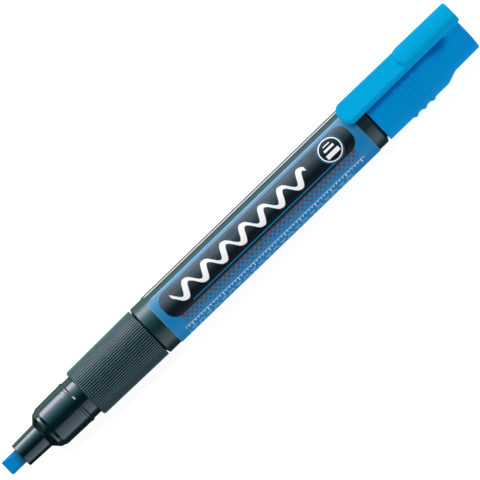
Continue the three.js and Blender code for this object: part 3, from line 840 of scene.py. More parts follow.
grip_piece = make_piece("ribbed_grip", grip_shape(), rubbed_grip_with_groove_shade(), crisp_deg=60)
settle(grip_piece, "pen_body", "grip_sleeve", "grip_plastic")

# %% [markdown]
# ## The barrel and the tail
# The barrel is a plain tube that holds the ink. Its front has a thin, steep lip that almost touches
# the grip, and the narrow groove over it is the dark line between the two: a steep face mirrors its
# dark neighbour and not the lamps. The tail plug behind carries a post with its own snap ring, over
# which the cap is pushed. Only a hair of the plug shows while the cap is on, but its post and ring
# show when the cap is off.

# %% The barrel and the tail plug
BARREL_FRONT_ROUND = 0.45
BARREL_REAR_ROUND = 0.8
LIP_LENGTH = 0.3
LIP_FRONT_RADIUS = 5.8
LIP_REAR_RADIUS = 6.4
TANK_RADIUS = 5.9
NECK_BORE = 5.3
NECK_MARGIN = 1.5

barrel_front = front_of("barrel")
barrel_rear = rear_of("barrel")
neck_bore_rear = spigot_rear + NECK_MARGIN
barrel_corners = [
    (barrel_front - LIP_LENGTH, LIP_FRONT_RADIUS),
    (barrel_front, LIP_REAR_RADIUS),
    (barrel_front, barrel_radius, BARREL_FRONT_ROUND),
    (barrel_rear, barrel_radius, BARREL_REAR_ROUND),
    (barrel_rear, TANK_RADIUS, 0.15),
    (neck_bore_rear, TANK_RADIUS),
    (neck_bore_rear, NECK_BORE),
    (barrel_front - LIP_LENGTH, NECK_BORE, 0.1),
]
turned_piece("barrel_tube", barrel_corners, barrel_satin, ("pen_body", "barrel", "barrel_plastic"))

PLUG_INSERT_RADIUS = 5.8
PLUG_FLANGE_RADIUS = 6.3
PLUG_FLANGE_FOOT = 5.75
PLUG_FLANGE = 0.3
PLUG_WALL = 1.2
POST_RADIUS = 5.65
POST_ROUND = 0.5

plug_front = front_of("tail_plug")
flange_front = barrel_rear + GAP
flange_rear = flange_front + PLUG_FLANGE
cap_mouth = front_of("cap_shell")
tail_ring = cap_mouth + neck_rear + GAP - ring_rear
post_rear = rear_of("tail_plug")
plug_corners = [
    (plug_front, PLUG_INSERT_RADIUS, 0.2),
    (flange_front, PLUG_INSERT_RADIUS),
    (flange_front, PLUG_FLANGE_RADIUS, 0.05),
    (flange_rear, PLUG_FLANGE_FOOT),
    (flange_rear, POST_RADIUS),
    (tail_ring, POST_RADIUS, 0.06),
    (tail_ring + RING_FRONT_FLANK, ring_radius, RING_ROUND),
    (tail_ring + RING_WIDTH - RING_REAR_FLANK, ring_radius, RING_ROUND),
    (tail_ring + RING_WIDTH, POST_RADIUS, 0.06),
    (post_rear, POST_RADIUS, POST_ROUND),
    (post_rear, 0),
    (post_rear - PLUG_WALL, 0),
    (post_rear - PLUG_WALL, POST_RADIUS - PLUG_WALL, 0.2),
    (plug_front, POST_RADIUS - PLUG_WALL, 0.1),
]
turned_piece("tail_post", plug_corners, barrel_satin, ("pen_body", "tail_plug", "barrel_plastic"))

# %% [markdown]
# ## The fibre nib
# The nib is a rod of pressed fibre, cut to a chisel. Every cross-section is a circle that two flat
# bevels have cut, so its radius at an angle is the smaller of the rod's radius and the distance to the
# bevel. A soft minimum of the two also gives the worn edges. The nib is turned so that a bevel faces us.

# %% The chisel nib
NIB_RADIUS = 2.0
NIB_EDGE_HALF = 0.45
NIB_BEVEL_LENGTH = 3.9
NIB_BEVEL_RISE = 1.6
NIB_TURN_DEG = 34.0
NIB_SIDES = 120
NIB_SOFT_POWER = 14
NIB_WORN_EDGE = 0.14
NIB_WORN_CORNER = 0.5
NIB_CORNER_BACK = 0.28
NIB_CORNER_DEPTH = 2.0
NIB_WORN_ROWS = 6
NIB_BEVEL_ROWS = 26
NIB_SHAFT_ROWS = (8.0, 12.0)
NIB_END_ROW = 0.3

nib_front = front_of("nib")
nib_rear = rear_of("nib")


def nib_ring(distance):
    """One cross-section of the nib, at a distance behind its writing edge."""
    short = max(NIB_WORN_EDGE - distance, 0.0)
    worn = NIB_WORN_EDGE - math.sqrt(NIB_WORN_EDGE ** 2 - short ** 2)
    radius = NIB_RADIUS - worn
    half = NIB_EDGE_HALF + NIB_BEVEL_RISE * distance / NIB_BEVEL_LENGTH - worn
    turn = math.radians(NIB_TURN_DEG)
    ring = []
    for side in range(NIB_SIDES):
        angle = side / NIB_SIDES * 2 * math.pi
        cut = abs(math.sin(angle)) / half
        reach = (radius ** -NIB_SOFT_POWER + cut ** NIB_SOFT_POWER) ** (-1 / NIB_SOFT_POWER)
        across = reach * math.cos(angle)
        thick = reach * math.sin(angle)
        corner = max(-across - NIB_RADIUS + NIB_WORN_CORNER, 0.0) / NIB_WORN_CORNER
        back = NIB_CORNER_BACK * corner ** 2 * max(1 - distance / NIB_CORNER_DEPTH, 0.0)
        y = across * math.cos(turn) - thick * math.sin(turn)
        z = across * math.sin(turn) + thick * math.cos(turn)
        ring.append((nib_front + distance + back, y, z))
    return ring


def lofted(rings):
    """Points and faces of rings joined in order, with a fan that closes each end."""
    points = [point for ring in rings for point in ring]
    count = len(rings[0])
    faces = []
    for row in range(len(rings) - 1):
        for side in range(count):
            beside = (side + 1) % count
            near, far = row * count, (row + 1) * count
            faces.append((near + side, near + beside, far + beside, far + side))
    for start, ring in ((0, rings[0]), ((len(rings) - 1) * count, rings[-1])):
        hub = len(points)
        points.append(tuple(sum(parts) / count for parts in zip(*ring)))
        faces += [(hub, start + side, start + (side + 1) % count) for side in range(count)]
    return points, faces


nib_length = nib_rear - nib_front
nib_turns = [step / NIB_WORN_ROWS * math.pi / 2 for step in range(NIB_WORN_ROWS + 1)]
nib_steps = [NIB_WORN_EDGE * (1 - math.cos(turn)) for turn in nib_turns]
nib_steps += [
    NIB_WORN_EDGE + (NIB_BEVEL_LENGTH + 1) * step / NIB_BEVEL_ROWS for step in range(1, NIB_BEVEL_ROWS + 1)
]
nib_steps += [*NIB_SHAFT_ROWS, nib_length - NIB_END_ROW, nib_length]
print("The nib has", len(nib_steps), "cross-sections")

# %% [markdown]
# ## Ink-soaked fibre
# Ink darkens the fibre evenly at the tip, where it is cut across. Toward the holder the cut runs along
# the fibres: a few dry, pale ones show as short dashes, and the fibre is darker there, from old ink and
# from the holder's shade, which is painted in.
# Long, thin noise along the pen makes them, and the same noise raises them a little, so the light
# breaks up over the nib as it does on felt.

# %% The nib's finish
NIB_BLUE = paint(0, 142, 216)
NIB_DEEP = paint(0, 112, 184)
NIB_PALE = paint(96, 164, 206)
# The darker colour toward the holder: old ink, and painted shade from the holder.
NIB_STAIN_AND_SHADE = paint(22, 84, 116)
PALE_FROM, PALE_FULL = 1.6, 3.2
STAIN_AND_SHADE_FROM, STAIN_AND_SHADE_FULL = 2.1, 4.2


def fibre_finish():
    """Soaked fibre with pale dashes, and darkening for old ink and painted holder shade, set in behind the
    writing edge.
    """
    material, shader = new_finish("ink_soaked_fibre")
    tree = material.node_tree
    from_edge = coordinates(tree)[0] / MM - nib_front
    fibres = noise(tree, 0.13, (7, 1, 1), detail=2.0)
    dashes = noise(tree, 0.16, (4, 1, 1), detail=1.0)
    soak = noise(tree, 1.2, (2, 1, 1), detail=2.0)
    pale = dashes.rising(0.57, 0.64) * from_edge.rising(PALE_FROM, PALE_FULL)
    body = mixed(fibres.rising(0.3, 0.7) * 0.5 + soak * 0.3, NIB_BLUE, NIB_DEEP)
    dashed = mixed(pale * 0.45, body, NIB_PALE)
    # Darker toward the holder: old ink, and painted shade from the holder.
    stain_and_shade = (from_edge + fibres * 0.8 - 0.4).rising(STAIN_AND_SHADE_FROM, STAIN_AND_SHADE_FULL)
    feed(shader.inputs["Base Color"], mixed(stain_and_shade * 0.7, dashed, NIB_STAIN_AND_SHADE))
    feed(shader.inputs["Roughness"], fibres * 0.2 + 0.75)
    shader.inputs["Specular IOR Level"].default_value = 0.08
    relief(shader, fibres * 0.06 + dashes * 0.03)
    return material


nib_shape = lofted([nib_ring(step) for step in nib_steps])
nib_piece = make_piece("fibre_nib", nib_shape, fibre_finish(), crisp_deg=70)
settle(nib_piece, "writing_tip", "nib", "nib_fibre")

# %% [markdown]
# ## Curved and flat sheets
# The label and the clip are both sheets with an upper side, an underside and a border. One helper joins
# two grids of points into such a closed sheet.

# %% A closed sheet from two grids


def sheet(upper, under):
    """Points and faces of a closed sheet between two grids, each a list of rows of points."""
    rows, columns = len(upper), len(upper[0])
    points = [point for row in upper for point in row] + [point for row in under for point in row]
    below = rows * columns
    faces = []
    for row in range(rows - 1):
        for column in range(columns - 1):
            corner = row * columns + column
            face = (corner, corner + 1, corner + columns + 1, corner + columns)
            faces.append(face)
            faces.append(tuple(index + below for index in reversed(face)))
    border = [column for column in range(columns)]
    border += [row * columns + columns - 1 for row in range(1, rows)]
    border += [(rows - 1) * columns + column for column in range(columns - 2, -1, -1)]
    border += [row * columns for row in range(rows - 2, 0, -1)]
    for here, there in zip(border, border[1:] + border[:1]):
        faces.append((here, here + below, there + below, there))
    return points, faces


print("A sheet of 3 by 4 points a side has", len(sheet([[0] * 4] * 3, [[0] * 4] * 3)[1]), "faces")

# %% [markdown]
# ## The label
# The label is a printed film that goes almost all the way round. Its ends stop short of each other and
# leave a bare strip of barrel beside the clip. We give its mesh a UV map in millimetres: U along
# the pen and V round it. Any print can then be drawn with real sizes, as on a drawing board.

# %% The label film
LABEL_THICKNESS = 0.14
LABEL_LIFT = 0.04
LABEL_CORNER = 1.8
STRIP_CENTRE_DEG = -24.4
STRIP_WIDTH_DEG = 20.5
LABEL_COLUMNS = 60
LABEL_TURNS = 240
LABEL_END_ROWS = (0, 0.15, 0.5, 1, 1.8, 3, 4.5)

label_front = front_of("label")
label_length = rear_of("label") - label_front
label_outer = barrel_radius + LABEL_LIFT + LABEL_THICKNESS
label_start_deg = STRIP_CENTRE_DEG + STRIP_WIDTH_DEG / 2
label_span_deg = 360 - STRIP_WIDTH_DEG
label_round = math.radians(label_span_deg) * label_outer


def label_place(row, column):
    """How far round and along the film a grid point lies, in mm, with the film's corners rounded."""
    round_film = row / LABEL_TURNS * label_round
    to_end = min(round_film, label_round - round_film, LABEL_CORNER)
    inset = LABEL_CORNER - math.sqrt(LABEL_CORNER ** 2 - (LABEL_CORNER - to_end) ** 2)
    along = inset + column / LABEL_COLUMNS * (label_length - 2 * inset)
    return round_film, along


def label_rows():
    """Rows close together at both ends of the film, for its round corners."""
    far_rows = [LABEL_TURNS - row for row in reversed(LABEL_END_ROWS)]
    return [*LABEL_END_ROWS, *range(6, LABEL_TURNS - 5), *far_rows]


def label_grid(radius):
    """One side of the film, at a radius."""
    grid = []
    for row in label_rows():
        places = [label_place(row, column) for column in range(LABEL_COLUMNS + 1)]
        grid.append([
            round_pen(label_front + along, radius, label_start_deg + math.degrees(round_film / label_outer))
            for round_film, along in places
        ])
    return grid


def add_print_map(mesh):
    """A UV map in mm: U along the pen from the film's front, V round it from its edge beside the clip."""
    print_map = mesh.uv_layers.new(name="print_mm")
    for loop in mesh.loops:
        point = mesh.vertices[loop.vertex_index].co
        degrees = math.degrees(math.atan2(-point.y, point.z - AXIS_HEIGHT)) - label_start_deg
        round_film = math.radians((degrees + 1) % 360 - 1) * label_outer
        print_map.data[loop.index].uv = (point.x / MM - label_front, round_film)


print(f"The film is {label_length:.1f} mm long and {label_round:.1f} mm round")

# %% [markdown]
# ## Printing with distances
# A printed shape is easiest as a distance: negative inside the shape, zero on its outline, positive
# outside. Ink is laid where the distance is below zero, with an edge as soft as printing allows.
# Repeating a motif is only a matter of wrapping U round at every step.

# %% Shapes to print with
INK_SOFT = 0.07


def ink(distance, soft=INK_SOFT):
    """1 inside a shape and 0 outside it."""
    return distance.rising(soft / 2, -soft / 2)


def plate(u, v, centre, half, corner):
    """Distance to a rectangle with round corners."""
    beyond_u = abs(u - centre[0]) - (half[0] - corner)
    beyond_v = abs(v - centre[1]) - (half[1] - corner)
    outside = length_of(beyond_u.at_least(0.0), beyond_v.at_least(0.0))
    return outside + beyond_u.at_least(beyond_v).at_most(0.0) - corner


def repeated(u, pitch):
    """U measured from the middle of the nearest copy."""
    return u.math("WRAP", pitch / 2, -pitch / 2)


def between(u, start, end):
    """Distance to the stretch of U between two places."""
    return abs(u - (start + end) / 2) - (end - start) / 2


def dot(u, v, centre, radius):
    """Distance to a disc."""
    return length_of(u - centre[0], v - centre[1]) - radius


print("Shapes: plate, dot and between, and plates and dots can be repeated")

# %% [markdown]
# ## The print
# The film has a plain design made for this lesson: a blue ground, a chalkboard panel, one stroke drawn
# by a chisel nib, dots that fade out as in a newspaper picture, a ruler with two rows of dashes and a
# badge that shows three line widths. The back has a second board, a pale patch and a dark band, and
# both ends of the film keep a pale margin. Layers of ink are laid one after another, as on a press.

# %% The colours and sizes of the print
LABEL_BLUE = paint(8, 128, 190)
# A greyer blue laid toward both ends of the film: painted sheen.
LABEL_PAINTED_SHEEN = paint(66, 126, 162)
BOARD_BLACK = paint(11, 20, 24)
# Grey on the board: chalk dust and painted sheen.
BOARD_DUST_AND_SHEEN = paint(88, 98, 108)
CHALK_WHITE = paint(246, 247, 250)
PALE_INK = paint(160, 204, 238)
DOT_GREY = paint(74, 78, 98)
FAR_INK = paint(34, 32, 54)

BOARD_FROM, BOARD_TO = 2.0, 62.6
BOARD_MIDDLE = 4.75
BOARD_HALF = 3.75
BOARD_CORNER = 3.0
STROKE_FROM, STROKE_TO = 5.4, 49.0
STROKE_PITCH = 6.2
STROKE_HEIGHT = 1.5
STROKE_MIDDLE = 4.55
STROKE_HALF = 0.6
STROKE_SWELL = -0.28
CHALK_SOFT = 0.12
CHALK_RAGGED = 0.2
PINSTRIPE_MIDDLE = 7.7
PINSTRIPE_HALF = 0.11
PINSTRIPE_FROM, PINSTRIPE_TO = 9.0, 58.0
DOT_PITCH = 1.5
DOTS_FROM, DOTS_TO = 4.0, 60.5
DOT_ROWS = ((8.7, 0.0, 0.66), (9.7, 0.5, 0.5), (10.5, 0.0, 0.34), (11.1, 0.5, 0.2))
RULER_BASE = 11.9
RULER_FROM, RULER_TO = 3.0, 61.0
DASH_ROWS = ((13.9, 2.4, 0.8), (15.1, 1.6, 0.5))
DASH_HALF = 0.16
DASHES_TO = 57.0
BADGE_CENTRE = (56.4, 4.6)
BADGE_RADIUS = 3.3
BADGE_BARS = ((-1.5, 0.14, 1.0), (-0.45, 0.3, 1.5), (1.1, 0.55, 1.9))
BACK_FROM, BACK_TO = 5.4, 59.4
BACK_MIDDLE = 27.6
BACK_HALF = 3.3
BACK_CORNER = 1.6
BACK_FRAME_INSET = 0.5
BACK_FRAME_HALF = 0.09
BACK_DOT_PITCH = 2.6
BACK_DOTS_INSET = 5
BACK_DOTS = ((26.2, 0.5), (27.6, 0.75), (29.0, 0.5))
PATCH_MIDDLE = 35.6
PATCH_HALF = 2.1
PATCH_INSET = 3
PATCH_LAYERS = ((0.0, 0.8, CHALK_WHITE), (0.4, 0.6, PALE_INK))
FAR_MARGIN = 0.55
FAR_BAND = 3.6
NEAR_MARGIN = 0.16
# How far the painted sheen reaches in from each end of the film.
NEAR_FADE = 8.5
FAR_FADE = 8.0
FADE_END = 1.0
print(f"The print's board is {BOARD_TO - BOARD_FROM:.1f} mm long")

# %% The motifs


def chisel_stroke(u, v, chalk):
    """A wave as a chisel nib draws it, thick on the way down and thin on the way up."""
    turn = u * (2 * math.pi / STROKE_PITCH)
    wave = turn.math("SINE") * STROKE_HEIGHT + STROKE_MIDDLE
    slope = turn.math("COSINE")
    half = slope * STROKE_SWELL + STROKE_HALF
    across = abs(v - wave) / (slope * slope * 2.0 + 1.0).math("SQRT")
    return (across - half).at_least(between(u, STROKE_FROM, STROKE_TO)) + chalk


def ruler(u, v):
    """A base line with a tick every millimetre and a longer one every fifth."""
    base = abs(v - RULER_BASE) - 0.06
    short = plate(repeated(u, 1.0), v, (0, RULER_BASE + 0.35), (0.07, 0.35), 0.02)
    long = plate(repeated(u, 5.0), v, (0, RULER_BASE + 0.65), (0.09, 0.65), 0.02)
    return base.at_most(short).at_most(long).at_least(between(u, RULER_FROM, RULER_TO))


def badge(u, v):
    """A ring round three bars that grow longer and thicker."""
    ring = abs(dot(u, v, BADGE_CENTRE, BADGE_RADIUS - 0.4)) - 0.15
    for offset, half, reach in BADGE_BARS:
        bar = plate(u, v, (BADGE_CENTRE[0], BADGE_CENTRE[1] + offset), (reach, half), 0.1)
        ring = ring.at_most(bar)
    return ring


def stretch(u_from, u_to, middle, half, corner):
    """What plate needs for a strip between two places on U."""
    return ((u_from + u_to) / 2, middle), ((u_to - u_from) / 2, half), corner


print("Motifs: stroke, ruler and badge")

# %% Lay the inks on, one after another


def front_layers(u, v, dust, smear):
    """The side that faces up and to the viewer, as (how much ink lies there, its colour)."""
    chalk = (dust - 0.5) * CHALK_RAGGED
    for middle, shift, radius in DOT_ROWS:
        dots = dot(repeated(u + shift * DOT_PITCH, DOT_PITCH), v, (0, middle), radius)
        yield ink(dots.at_least(between(u, DOTS_FROM, DOTS_TO))), DOT_GREY
    board = plate(u, v, *stretch(BOARD_FROM, BOARD_TO, BOARD_MIDDLE, BOARD_HALF, BOARD_CORNER))
    yield ink(board), BOARD_BLACK
    # Grey over the board, stronger toward its top: chalk dust and painted sheen.
    dust_and_sheen = (smear * 0.6 + dust * 0.9).rising(0.45, 0.95) * v.rising(5.9, 3.2)
    yield ink(board) * dust_and_sheen * 0.75, BOARD_DUST_AND_SHEEN
    pinstripe = abs(v - PINSTRIPE_MIDDLE) - PINSTRIPE_HALF
    yield ink(pinstripe.at_least(between(u, PINSTRIPE_FROM, PINSTRIPE_TO))), LABEL_BLUE
    yield ink(chisel_stroke(u, v, chalk), CHALK_SOFT), CHALK_WHITE
    yield ink(dot(u, v, BADGE_CENTRE, BADGE_RADIUS + 0.1)), LABEL_BLUE
    yield ink(dot(u, v, BADGE_CENTRE, BADGE_RADIUS)), BOARD_BLACK
    yield ink(badge(u, v)), CHALK_WHITE
    yield ink(ruler(u, v)), CHALK_WHITE
    for middle, pitch, half in DASH_ROWS:
        dash = plate(repeated(u, pitch), v, (0, middle), (half, DASH_HALF), DASH_HALF / 2)
        yield ink(dash.at_least(between(u, RULER_FROM, DASHES_TO))), PALE_INK


def back_layers(u, v, dust):
    """The side that lies on the table: a second board, a pale patch, and both ends of the film."""
    chalk = (dust - 0.5) * CHALK_RAGGED
    board = plate(u, v, *stretch(BACK_FROM, BACK_TO, BACK_MIDDLE, BACK_HALF, BACK_CORNER))
    yield ink(board), BOARD_BLACK
    yield ink(abs(board + BACK_FRAME_INSET) - BACK_FRAME_HALF), DOT_GREY
    for middle, radius in BACK_DOTS:
        row = dot(repeated(u, BACK_DOT_PITCH), v, (0, middle), radius) + chalk
        reach = between(u, BACK_FROM + BACK_DOTS_INSET, BACK_TO - BACK_DOTS_INSET)
        yield ink(row.at_least(reach), CHALK_SOFT), CHALK_WHITE
    for rim, corner, colour in PATCH_LAYERS:
        inset = PATCH_INSET + rim
        patch = stretch(BACK_FROM + inset, BACK_TO - inset, PATCH_MIDDLE, PATCH_HALF - rim, corner)
        yield ink(plate(u, v, *patch)), colour
    yield ink(between(v, label_round - FAR_BAND, label_round - FAR_MARGIN)), FAR_INK
    yield ink(between(v, label_round - FAR_MARGIN, label_round)) * 0.85, CHALK_WHITE
    yield ink(between(v, 0, NEAR_MARGIN)), PALE_INK


def edge_of_film(u, v):
    """Distance to the film's own outline."""
    middle = (label_length / 2, label_round / 2)
    return plate(u, v, middle, middle, LABEL_CORNER)


print("Rows of dots:", len(DOT_ROWS), "in front and", len(BACK_DOTS), "at the back")

# %% The printed film


def label_finish():
    """All layers of ink over the blue ground, with painted sheen at both ends, on a film that is a little
    slack.
    """
    material, shader = new_finish("printed_film")
    tree = material.node_tree
    print_map = tree.nodes.new("ShaderNodeUVMap")
    print_map.uv_map = "print_mm"
    parts = tree.nodes.new("ShaderNodeSeparateXYZ")
    tree.links.new(print_map.outputs[0], parts.inputs[0])
    u = Field(parts.outputs["X"])
    v = Field(parts.outputs["Y"])
    grain = noise(tree, 0.3, detail=2.0)
    blue = mixed(grain, shaded(LABEL_BLUE, 0.95), shaded(LABEL_BLUE, 1.04))
    # Painted sheen: the blue turns greyer toward both ends of the film, which lie on top beside the clip.
    fade = v.rising(NEAR_FADE, FADE_END)
    fade = fade.at_least(v.rising(label_round - FAR_FADE, label_round - FADE_END))
    colour = mixed(fade, blue, LABEL_PAINTED_SHEEN)
    dust = noise(tree, 0.16, detail=3.0)
    smear = noise(tree, 2.2, (3, 1, 1), detail=3.0)
    layers = [*front_layers(u, v, dust, smear), *back_layers(u, v, dust)]
    for share, layer in layers:
        colour = mixed(share, colour, layer)
    print("The print has", len(layers), "layers of ink")
    # Painted highlight: a thin pale line laid along the film's outline.
    edge_highlight = edge_of_film(u, v).rising(-0.12, -0.06)
    slack = noise(tree, 6.0, (2, 1, 1), detail=1.0)
    feed(shader.inputs["Base Color"], mixed(edge_highlight * 0.15, colour, CHALK_WHITE))
    feed(shader.inputs["Roughness"], grain * 0.08 + 0.32)
    shader.inputs["Specular IOR Level"].default_value = 0.16
    relief(shader, slack * 0.012 + grain * 0.0012)
    return material


label_shape = sheet(label_grid(label_outer), label_grid(barrel_radius + LABEL_LIFT))
label_piece = make_piece("printed_label", label_shape, label_finish())
add_print_map(label_piece.data)
settle(label_piece, "pen_body", "label", "label_film")

# %% [markdown]
# ## The cap
# The cap is a deep blue moulding with a wide mouth, three grip beads, a soft step and a narrower end
# with a low crown. A small dimple in the middle of the crown is where the plastic entered the mould.
# Inside, its bore narrows where the soft seal cup sits.

# %% The cap moulding
CAP_RADIUS = 6.98
CAP_BORE = 5.95
BEAD_SETBACK = 7.45
BEAD_PITCH = 2.8
BEAD_COUNT = 3
BEAD_BASE = 1.5
BEAD_CREST = 0.75
STEP_SETBACK = 18.3
STEP_LENGTH = 4.4
STEP_POINTS = 24
CROWN_POINTS = 8
NARROW_FRONT_RADIUS = 5.82
NARROW_END_RADIUS = 5.7
NARROW_BORE = 4.7
END_WALL = 1.7
END_CROWN = 0.36
END_ROUND = 0.3
END_FLAT_RADIUS = 2.6
GATE_RADIUS = 0.7
GATE_DEPTH = 0.12
INNER_STEP_LEAD = 0.8
INNER_STEP_LENGTH = 3.0

cap_end = rear_of("cap_shell")
bead_radius = radius_of("cap_shell") * math.cos(math.pi / CAD_SIDES)
step_front = cap_mouth + STEP_SETBACK


def bead_corners():
    """The four corners of each bead, with small rounds."""
    flank = (BEAD_BASE - BEAD_CREST) / 2
    corners = []
    for bead in range(BEAD_COUNT):
        start = cap_mouth + BEAD_SETBACK + bead * BEAD_PITCH
        corners += [(start, CAP_RADIUS, 0.25), (start + flank, bead_radius, 0.25)]
        corners += [(start + flank + BEAD_CREST, bead_radius, 0.25), (start + BEAD_BASE, CAP_RADIUS, 0.25)]
    return corners


def step_corners():
    """The soft step from the wide part to the narrow part."""
    corners = []
    for step in range(STEP_POINTS + 1):
        share = step / STEP_POINTS
        radius = CAP_RADIUS + (NARROW_FRONT_RADIUS - CAP_RADIUS) * eased(share)
        corners.append((step_front + share * STEP_LENGTH, radius))
    return corners


def crown_corners():
    """From the rounded rim over the low crown to its flat, and into the gate's dimple."""
    rim = cap_end - END_CROWN
    width = NARROW_END_RADIUS - END_FLAT_RADIUS
    corners = [(rim, NARROW_END_RADIUS, END_ROUND)]
    for step in range(CROWN_POINTS, -1, -1):
        share = step / CROWN_POINTS * (1 - 1.3 * END_ROUND / width)
        corners.append((cap_end - END_CROWN * share ** 2, END_FLAT_RADIUS + width * share))
    corners += [(cap_end, GATE_RADIUS, 0.08), (cap_end - GATE_DEPTH, GATE_RADIUS - 0.15, 0.08)]
    return corners + [(cap_end - GATE_DEPTH, 0)]


bore_end = cap_end - END_WALL
inner_step = step_front - INNER_STEP_LEAD
cap_corners = [
    (cap_mouth, CAP_RADIUS, 0.18),
    *bead_corners(),
    *step_corners(),
    *crown_corners(),
    (bore_end, 0),
    (bore_end, NARROW_BORE, 0.2),
    (inner_step + INNER_STEP_LENGTH, NARROW_BORE, 0.4),
    (inner_step, CAP_BORE, 0.4),
    (cap_mouth, CAP_BORE, 0.15),
]
CAP_COLOUR = paint(0, 149, 222)
CAP_MOULD = {"roughness": 0.5, "gloss": 0.015, "grain": (0.35, 0.003), "cloud": 0.03}
cap_blue = moulded_plastic("satin_cyan_cap", CAP_COLOUR, **CAP_MOULD)
turned_piece("cap_moulding", cap_corners, cap_blue, ("cap", "cap_shell", "cap_plastic"))

# %% [markdown]
# ## The clip's blade
# The clip is a flat blade with a full round tip, and its rear half carries a raised thumb pad with a
# blunt, bowed nose. Its edges are rounded all along the outline. To round them evenly, we measure how
# far each point lies from the outline itself, which also works round the tip and the rear corners.

# %% The clip's blade
CLIP_WIDTH = 6.25
CLIP_FLARE = 0.28
CLIP_THICKNESS = 1.4
TIP_LENGTH = 2.6
TIP_POWER = 2.65
CLIP_EDGE = 0.85
CLIP_UNDER_EDGE = 0.28
CLIP_CORNER = 0.6
CLIP_THINNEST = 0.1
HEEL_LENGTH = 0.7
HEEL_RISE = 0.42
PAD_LENGTH = 17.7
PAD_HEIGHT = 1.2
PAD_NOSE = 1.5
PAD_NOSE_BOW = 1.2
PAD_CROWN_POWER = 2.4
TIP_ROWS = 30
NOSE_LEAD = 0.4
NOSE_STEP = 0.08
NOSE_ROWS = 42
HEEL_ZONE = 1.0
HEEL_ROWS = 16
HALF_COLUMNS = 28

clip_low, clip_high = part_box("cap_clip")
clip_front = clip_low.x / MM
clip_rear = clip_high.x / MM
clip_outer = (clip_high.z - AXIS_HEIGHT) / MM - PAD_HEIGHT
clip_inner = clip_outer - CLIP_THICKNESS
pad_front = clip_rear - PAD_LENGTH


def edge_drop(from_side, size):
    """How far a round edge has fallen at a distance from the side that it rounds."""
    return quarter_round(min(max(1 - from_side / size, 0.0), 1.0), size)


def clip_half_width(station):
    """Half the blade's width: a full round tip, sides that close in a little and small rear corners."""
    share = min(max((station - clip_front) / TIP_LENGTH, 0.0), 1.0)
    tip = (1 - (1 - share) ** TIP_POWER) ** (1 / TIP_POWER)
    flare = CLIP_FLARE * (clip_rear - station) / (clip_rear - clip_front)
    return max((CLIP_WIDTH / 2 + flare) * tip - edge_drop(clip_rear - station, CLIP_CORNER), 0.0)


def pad_height(station, share):
    """The raised thumb pad: a blunt bowed nose, and a crown that dies out at the blade's sides."""
    nose = (station - pad_front - PAD_NOSE_BOW * share * share) / PAD_NOSE
    rise = min(max(nose, 0.0), 1.0)
    crown = math.sqrt(max(1 - abs(share) ** PAD_CROWN_POWER, 0.0))
    return PAD_HEIGHT * math.sqrt(1 - (1 - rise) ** 2) * crown


def blade_stations():
    """Rows of points, close together where the outline or the pad turns quickly."""
    tip_rear = clip_front + TIP_LENGTH
    nose_start = pad_front - NOSE_LEAD
    heel_start = clip_rear - HEEL_ZONE
    tip = [clip_front + TIP_LENGTH * (step / TIP_ROWS) ** 2.2 for step in range(TIP_ROWS + 1)]
    plain = [tip_rear + share * (nose_start - tip_rear) for share in (0.2, 0.5, 0.8)]
    nose = [nose_start + NOSE_STEP * step for step in range(NOSE_ROWS)]
    pad = [nose[-1] + share * (heel_start - nose[-1]) for share in (0.1, 0.3, 0.5, 0.7, 0.9, 1.0)]
    turns = [step / HEEL_ROWS * math.pi / 2 for step in range(1, HEEL_ROWS + 1)]
    heel = [heel_start + HEEL_ZONE * math.sin(turn) for turn in turns]
    return tip + plain + nose + pad + heel


column_turns = [step / HALF_COLUMNS * math.pi / 2 for step in range(-HALF_COLUMNS, HALF_COLUMNS + 1)]
CLIP_SHARES = [math.sin(turn) for turn in column_turns]
clip_stations = blade_stations()
clip_outline = [(station, clip_half_width(station)) for station in clip_stations]
clip_outline.append((clip_rear, 0.0))
print("The blade has", len(clip_stations), "rows of", len(CLIP_SHARES), "points")

# %% Measure from the outline
NEARBY_ROWS = 24


def to_segment(x, y, start, end):
    """Distance from a point to a straight piece of the outline."""
    along = Vector(end) - Vector(start)
    if along.length_squared == 0:
        return math.hypot(x - start[0], y - start[1])
    share = (Vector((x, y)) - Vector(start)).dot(along) / along.length_squared
    nearest = Vector(start) + along * min(max(share, 0.0), 1.0)
    return math.hypot(x - nearest.x, y - nearest.y)


def from_outline(row, y):
    """How far inside the blade's outline a point of a row lies, looking only at the outline near it."""
    x = clip_stations[row]
    near = range(max(row - NEARBY_ROWS, 0), min(row + NEARBY_ROWS + 1, len(clip_outline) - 1))
    return min(to_segment(x, abs(y), clip_outline[i], clip_outline[i + 1]) for i in near)


def blade_shape():
    """The blade's two sides, kept a little apart so that they never cross."""
    upper, under = [], []
    for row, station in enumerate(clip_stations):
        half = clip_half_width(station)
        heel = HEEL_RISE * max(1 - (clip_rear - station) / HEEL_LENGTH, 0.0)
        upper.append([])
        under.append([])
        for share in CLIP_SHARES:
            y = half * share
            inside = from_outline(row, y)
            top = clip_outer + pad_height(station, share) - edge_drop(inside, CLIP_EDGE)
            bottom = min(clip_inner + heel + edge_drop(inside, CLIP_UNDER_EDGE), top - CLIP_THINNEST)
            upper[-1].append((station, y, top))
            under[-1].append((station, y, bottom))
    return sheet(upper, under)


blade = blade_shape()
print("The blade has", len(blade[1]), "faces")

# %% [markdown]
# ## The clip's web and bump
# The blade grows out of the cap through a short web near the end. On the real cap both are one
# moulding, with a wide fillet where they meet, so the web flares into the cap's surface at its foot and
# into the blade at its head. Under the free tip a small bump bears on cloth or paper.

